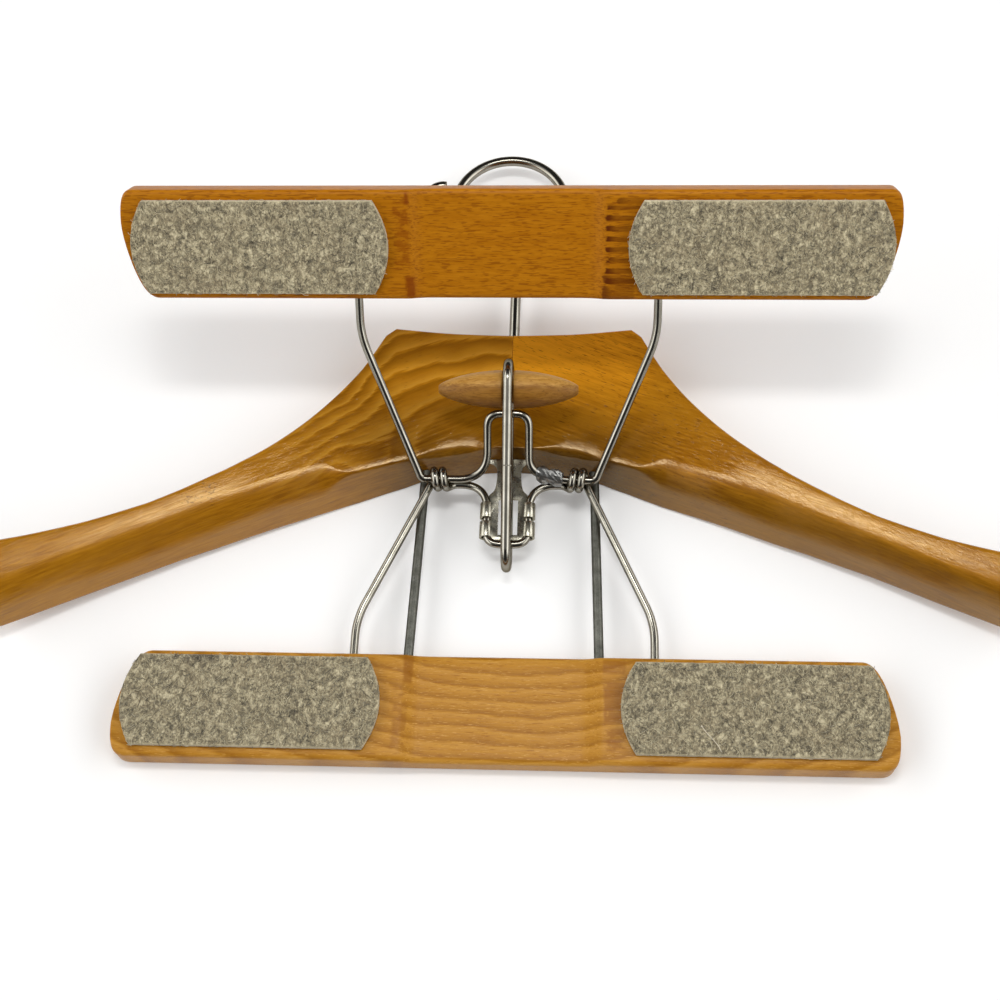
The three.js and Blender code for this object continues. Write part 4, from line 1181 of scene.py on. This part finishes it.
# clamp bars: sections along the bar, hollowed a little in the middle
barSet = {
    "half": 158.0, "inset": 13.0, "near": 78.0, "height": 45.0, "face": -2.9, "thick": 13.0, "edge": 2.2,
    "relief": 40.0, "reliefDepth": 2.0, "runIn": 9.0, "cornerSteps": 5, "faceSteps": 14, "runSteps": 66,
    "tipSteps": 26, "edgeShare": 0.98,
    "lowEnd": ((6, 0), (4, 0.2), (0.8, 0.45), (0, 0.55), (0, 0.7)),  # back from the end, share of the height
    "topEnd": ((1, 1), (0.2, 1), (0, 0.92), (0, 0.7)),  # share of the free inset, share of the height
    "curveSteps": 60, "tipGap": 0.004, "least": 0.05, "sharpAngle": 50,
}


def curveAt(points, x):
    # y where a sampled curve reaches x
    for a, b in zip(points, points[1:]):
        if min(a.x, b.x) <= x <= max(a.x, b.x):
            return lerp(a.y, b.y, (x - a.x) / (b.x - a.x)) if b.x != a.x else a.y
    return points[-1].y


def slabRing(x, low, high, bottom, top, s):
    half, deep, steps, across = (high - low) / 2, (top - bottom) / 2, s["cornerSteps"], s["faceSteps"]
    r = min(s["edge"], half * s["edgeShare"], deep * s["edgeShare"])
    corners = ((1, -1, -0.5), (1, 1, 0.0), (-1, 1, 0.5), (-1, -1, 1.0))
    ring = []
    for i, (sy, sz, turn) in enumerate(corners):
        for j in range(steps + 1):
            t = math.pi * (turn + j / steps / 2)
            ring.append((sy * (half - r) + r * math.cos(t), sz * (deep - r) + r * math.sin(t)))
        if i in (1, 3):
            run = -sy * 2 * (half - r)
            ring.extend((sy * (half - r) + run * k / across, sz * deep) for k in range(1, across))
    return [Vector((x, (low + high) / 2 + y, (bottom + top) / 2 + z)) for y, z in ring]


def setVectors(piece, name, values):
    layer = piece.data.attributes.new(name, "FLOAT_VECTOR", "POINT")
    layer.data.foreach_set("vector", [c for v in values for c in v])


def makeBar(name, place, material, body, node, freeInset):
    b = barSet
    half, high, near, start = b["half"], b["height"], b["near"], b["half"] - b["inset"]
    lowEnd = [(start, 0, 0)] + [(half - back, high * share, 0) for back, share in b["lowEnd"]]
    topEnd = [(half - freeInset * back, high * share, 0) for back, share in b["topEnd"]]
    lowCurve, topCurve = bezier(lowEnd, b["curveSteps"]), bezier(topEnd, b["curveSteps"])
    xs = [lerp(0, start, i / b["runSteps"]) for i in range(b["runSteps"])]
    xs += roundedRun(start, b["inset"], b["tipSteps"])
    xs[-1] = half - b["tipGap"]
    rings = []
    for x in bothWays(xs):
        out = abs(x)
        low = curveAt(lowCurve, out) if out > start else 0
        top = curveAt(topCurve, out) if out > half - freeInset else high
        inside = min(max((b["relief"] - out) / b["runIn"], 0), 1)
        face = b["face"] - b["reliefDepth"] * (1 - (1 - inside) ** 2)
        top = max(top, low + b["least"])
        rings.append(slabRing(x, near + low, near + top, b["face"] - b["thick"], face, b))
    piece = loftPiece(name, [[place(p) for p in ring] for ring in rings], material, b["sharpAngle"])
    setVectors(piece, "board", [p * mm for ring in rings for p in ring])
    finishPiece(piece, body, "bar_wood", node)


makeBar("bar_front", onFront, frontBarWood, "front_jaw", "front_bar", 5.0)
makeBar("bar_rear", onRear, rearBarWood, "hanger", "rear_bar", 7.5)
print("bars made")


# felt pads, cut with bowed ends and glued on, with loose fibres over them
padSet = {
    "half": 53.0, "height": 38.4, "thick": 2.4, "bow": 6.0, "middleY": 100.0, "seat": -2.6, "edge": 0.55,
    "cut": 0.12, "cutSize": 0.6, "nap": 0.16, "napShift": 0.9, "lumps": ((1.1, 11.0, 1.0), (2.9, 5.0, 0.7)),
    "rim": (0.1, 0.75), "bareRim": 0.4, "topSkin": 0.12, "edgeShare": 0.98, "skinFoot": 0.4, "sideRim": 0.6,
    "napFoot": 0.8, "sideNap": 0.25, "least": 0.06, "tipGap": 0.01, "boardStep": 40.0, "runSteps": 70,
    "tipSteps": 24, "cornerSteps": 4, "faceSteps": 56,
}
fuzzSet = {
    "density": 620000.0, "length": 0.0023, "radius": 0.000075, "lift": 0.0005, "seed": 7, "shadeSeed": 99,
    "bow": 0.22, "tilt": 0.15, "turn": 1.5, "sizes": (0.5, 1.35),
}


def makeFuzzTree(f):
    t = bpy.data.node_groups.new("feltFuzz", "GeometryNodeTree")
    addSockets(t, "INPUT", Felt="Geometry", Density="Float", Length="Float", Radius="Float", Lift="Float")
    addSockets(t, "INPUT", Lie="Vector", Seed="Int", Fibre="Material")
    addSockets(t, "OUTPUT", Fuzz="Geometry")
    start = put(t, "NodeGroupInput").outputs

    def chance(seed, low, high):
        return put(t, "FunctionNodeRandomValue", {2: low, 3: high, "Seed": seed}, data_type="FLOAT").outputs[1]

    nap = put(t, "GeometryNodeInputNamedAttribute", {"Name": "nap"}, data_type="FLOAT").outputs[0]
    sets = {"Mesh": start["Felt"], "Density": times(t, nap, start["Density"]), "Seed": start["Seed"]}
    dots = put(t, "GeometryNodeDistributePointsOnFaces", sets, distribute_method="RANDOM").outputs
    back, ahead, bow = (times(t, start["Length"], share) for share in (-0.5, 0.5, f["bow"]))
    sets = {"Start": combine(t, back), "Middle": combine(t, 0.0, bow, start["Lift"]), "End": combine(t, ahead)}
    line = put(t, "GeometryNodeCurveQuadraticBezier", {"Resolution": 4, **sets})
    ring = put(
        t, "GeometryNodeCurvePrimitiveCircle", {"Resolution": 3, "Radius": start["Radius"]}, mode="RADIUS",
    )
    sets = {"Curve": line.outputs[0], "Profile Curve": ring.outputs[0], "Fill Caps": False}
    hair = put(t, "GeometryNodeCurveToMesh", sets)
    sets = {"Rotation": dots["Rotation"], "Vector": start["Lie"]}
    laid = put(t, "FunctionNodeAlignRotationToVector", sets, axis="X", pivot_axis="Z")
    most = (f["tilt"], f["tilt"], f["turn"])
    sets = {"Min": tuple(-c for c in most), "Max": most, "Seed": start["Seed"]}
    spin = put(t, "FunctionNodeRandomValue", sets, data_type="FLOAT_VECTOR").outputs[0]
    euler = put(t, "FunctionNodeEulerToRotation", {0: spin})
    spun = put(
        t, "FunctionNodeRotateRotation", {0: laid.outputs[0], 1: euler.outputs[0]}, rotation_space="LOCAL",
    )
    sets = {"Points": dots["Points"], "Instance": hair.outputs[0], "Rotation": spun.outputs[0]}
    hairs = put(t, "GeometryNodeInstanceOnPoints", {**sets, "Scale": chance(start["Seed"], *f["sizes"])})
    sets = {"Geometry": hairs.outputs[0], "Name": "shade", "Value": chance(f["shadeSeed"], 0.0, 1.0)}
    toned = put(t, "GeometryNodeStoreNamedAttribute", sets, data_type="FLOAT", domain="INSTANCE")
    real = put(t, "GeometryNodeRealizeInstances", {"Geometry": toned.outputs[0]})
    coat = put(t, "GeometryNodeSetMaterial", {"Geometry": real.outputs[0], "Material": start["Fibre"]})
    put(t, "NodeGroupOutput", {"Fuzz": coat.outputs[0]})
    return t


fuzzTree = makeFuzzTree(fuzzSet)


def padHalf(x):
    p = padSet
    past = max(0, abs(x) - (p["half"] - p["bow"])) / p["bow"]
    return p["height"] / 2 * math.sqrt(max(1e-5, 1 - past))


def makePad(name, middleX, place, material, fibre, body, node, seed):
    p, f = padSet, fuzzSet
    straight = p["half"] - p["bow"]
    xs = [straight * i / p["runSteps"] for i in range(p["runSteps"])]
    xs += roundedRun(straight, p["bow"], p["tipSteps"])
    xs[-1] = p["half"] - p["tipGap"]
    local, rim, nap, rings = [], [], [], []
    for x in bothWays(xs):
        wide = padHalf(x) + p["cut"] * noise.noise(Vector((x * p["cutSize"], seed * 7.0, 0)))  # cut by hand
        wide = max(wide, p["least"])
        ring = slabRing(x, -wide, wide, 0, p["thick"], p)
        for q in ring:
            border = min(padHalf(q.x) - abs(q.y), p["half"] - abs(q.x))
            rough = 0.0
            for size, step, depth in p["lumps"]:
                rough += depth * noise.noise(Vector((q.x * size, q.y * size, seed * step)))
            lift = p["nap"] * (rough - p["napShift"]) if q.z > p["thick"] * 0.5 else 0
            onTop = q.z > p["thick"] - p["topSkin"] and border > p["bareRim"]
            rim.append(1 - smooth(border, *p["rim"]) if q.z > p["skinFoot"] else p["sideRim"])
            nap.append(1.0 if onTop else p["sideNap"] if q.z > p["napFoot"] else 0.0)
            local.append(Vector((q.x + middleX, q.y + p["middleY"], q.z + p["seat"] + lift)))
        rings.append([place(q) for q in local[-len(ring):]])
    piece = loftPiece(name, rings, material)
    setVectors(piece, "board", [(q + Vector((0, 0, seed * p["boardStep"]))) * mm for q in local])
    for key, values in (("rim", rim), ("nap", nap)):
        piece.data.attributes.new(key, "FLOAT", "POINT").data.foreach_set("value", values)
    fuzz = addObject(name + "_fibres", piece.data.copy())
    lie = tuple(place((0, 1, 0)) - place((0, 0, 0)))
    runTree(
        fuzz, fuzzTree, Density=f["density"], Length=f["length"], Radius=f["radius"], Lift=f["lift"],
        Lie=lie, Seed=f["seed"] + seed, Fibre=fibre,
    )
    finishPiece(piece, body, "felt", node)
    finishPiece(fuzz, body, "felt")
    print(name, len(fuzz.data.polygons), "fibre faces")


makePad("felt_front_left", -101.2, onFront, greyFelt, feltFuzz, "front_jaw", "front_left_pad", 1)
makePad("felt_front_right", 102.4, onFront, greyFelt, feltFuzz, "front_jaw", "front_right_pad", 2)
makePad("felt_rear_left", 102.0, onRear, shadedSoiledFelt, shadedRearFuzz, "hanger", "rear_left_pad", 3)
makePad("felt_rear_right", -101.2, onRear, shadedFelt, shadedRearFuzz, "hanger", "rear_right_pad", 4)

# a loose thread on the rear felt
threadSet = {
    "radius": 0.16, "z": padSet["seat"] + padSet["thick"] + 0.12, "steps": 48, "sides": 6,
    "points": (
        (-79.6, 107.8), (-80.6, 106.4), (-79.2, 106.0), (-80.0, 108.6), (-82.0, 110.8), (-84.6, 112.4),
        (-86.6, 115.0), (-87.4, 117.6),
    ),
}
points = bezier([(x, y, threadSet["z"]) for x, y in threadSet["points"]], threadSet["steps"])
points = [onRear(p) for p in points]
layWire("felt_thread", points, threadSet["radius"], looseThread, "hanger", "felt", sides=threadSet["sides"])
print("felt made")


# ferrule: thin tin crimped round the two wire ends, creased
ferruleSet = {
    "near": 12.4, "length": 10.8, "inner": 1.78, "outer": 2.95, "flat": 1.96, "endFlat": 1.90, "endAt": 22.0,
    "lobe": 1.0, "crease": 0.55, "dents": (-0.8, 0.5), "lean": 0.5, "innerLean": 0.4, "press": (0.955, 0.08),
    "around": 22, "along": 12, "seed": 4,
}


def makeFerrule(f):
    rnd = random.Random(f["seed"])
    n, last = f["around"], f["along"] - 1
    shell = f["along"] * n
    verts, faces = [], []
    for radius, amount in ((f["outer"], 1.0), (f["inner"], 0.0)):
        for i in range(f["along"]):
            x = f["near"] + f["length"] * i / last
            pinch = f["lobe"] * abs(math.sin(math.tau * i / last))
            for j in range(n):
                t = math.tau * j / n
                dent = rnd.uniform(*f["dents"])
                r = radius + amount * (f["crease"] * dent + pinch)
                lean = -amount * f["lean"] * math.sin(t) * (1 if i in (0, last) else f["innerLean"])
                rise = r * math.sin(t)
                if amount and rise > 0:  # pressed flatter, clear of the rear wire
                    flat = f["flat"] if x < f["endAt"] else f["endFlat"]
                    rise = flat * math.sin(t) * (f["press"][0] + f["press"][1] * dent)
                verts.append(onFront((x + lean, ferruleLine(x)[1] + r * math.cos(t), rise)))
    for base, flip in ((0, False), (shell, True)):
        for i in range(last):
            for j in range(n):
                k = (j + 1) % n
                a, b, c, d = (base + row * n + at for row, at in ((i, j), (i, k), (i + 1, k), (i + 1, j)))
                faces += [(a, c, b), (a, d, c)] if flip else [(a, b, c), (a, c, d)]
    for i, flip in ((0, True), (last, False)):
        for j in range(n):
            k = (j + 1) % n
            quad = (i * n + j, i * n + k, shell + i * n + k, shell + i * n + j)
            faces.append(quad[::-1] if flip else quad)
    piece = addPiece("ferrule_tin", verts, faces, ferruleTin, False)
    fix = bmesh.new()
    fix.from_mesh(piece.data)
    bmesh.ops.recalc_face_normals(fix, faces=fix.faces)
    fix.to_mesh(piece.data)
    fix.free()
    finishPiece(piece, "front_jaw", "sheet_nickel", "ferrule")


makeFerrule(ferruleSet)


# bracket: the pressed sheet with its edges eased
bracketSet = {
    "ease": 0.00016, "segments": 2, "easeAngle": 40, "merge": 0.000002, "flatAngle": 1, "sharpAngle": 35,
}


def makeBracket(g):
    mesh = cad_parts["bracket"].data.copy()
    clean = bmesh.new()
    clean.from_mesh(mesh)
    bmesh.ops.remove_doubles(clean, verts=clean.verts, dist=g["merge"])
    flat = math.radians(g["flatAngle"])
    bmesh.ops.dissolve_limit(clean, angle_limit=flat, verts=clean.verts, edges=clean.edges)
    clean.to_mesh(mesh)
    clean.free()
    setMaterial(mesh, sheetNickel)
    piece = addObject("bracket_sheet", mesh)
    ease = piece.modifiers.new("ease", "BEVEL")
    ease.width = g["ease"]
    ease.segments = g["segments"]
    ease.limit_method = "ANGLE"
    ease.angle_limit = math.radians(g["easeAngle"])
    settle(piece)
    shadeFaces(piece.data, True, g["sharpAngle"])
    finishPiece(piece, "hanger", "sheet_nickel", "bracket")


makeBracket(bracketSet)
for name in ("lower_dowel", "upper_dowel"):
    setMaterial(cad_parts[name].data, dowelWood)
for name in ("hook_collar", "left_bracket_nail", "right_bracket_nail"):
    setMaterial(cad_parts[name].data, zincWire)
print("sheet metal and small parts made")
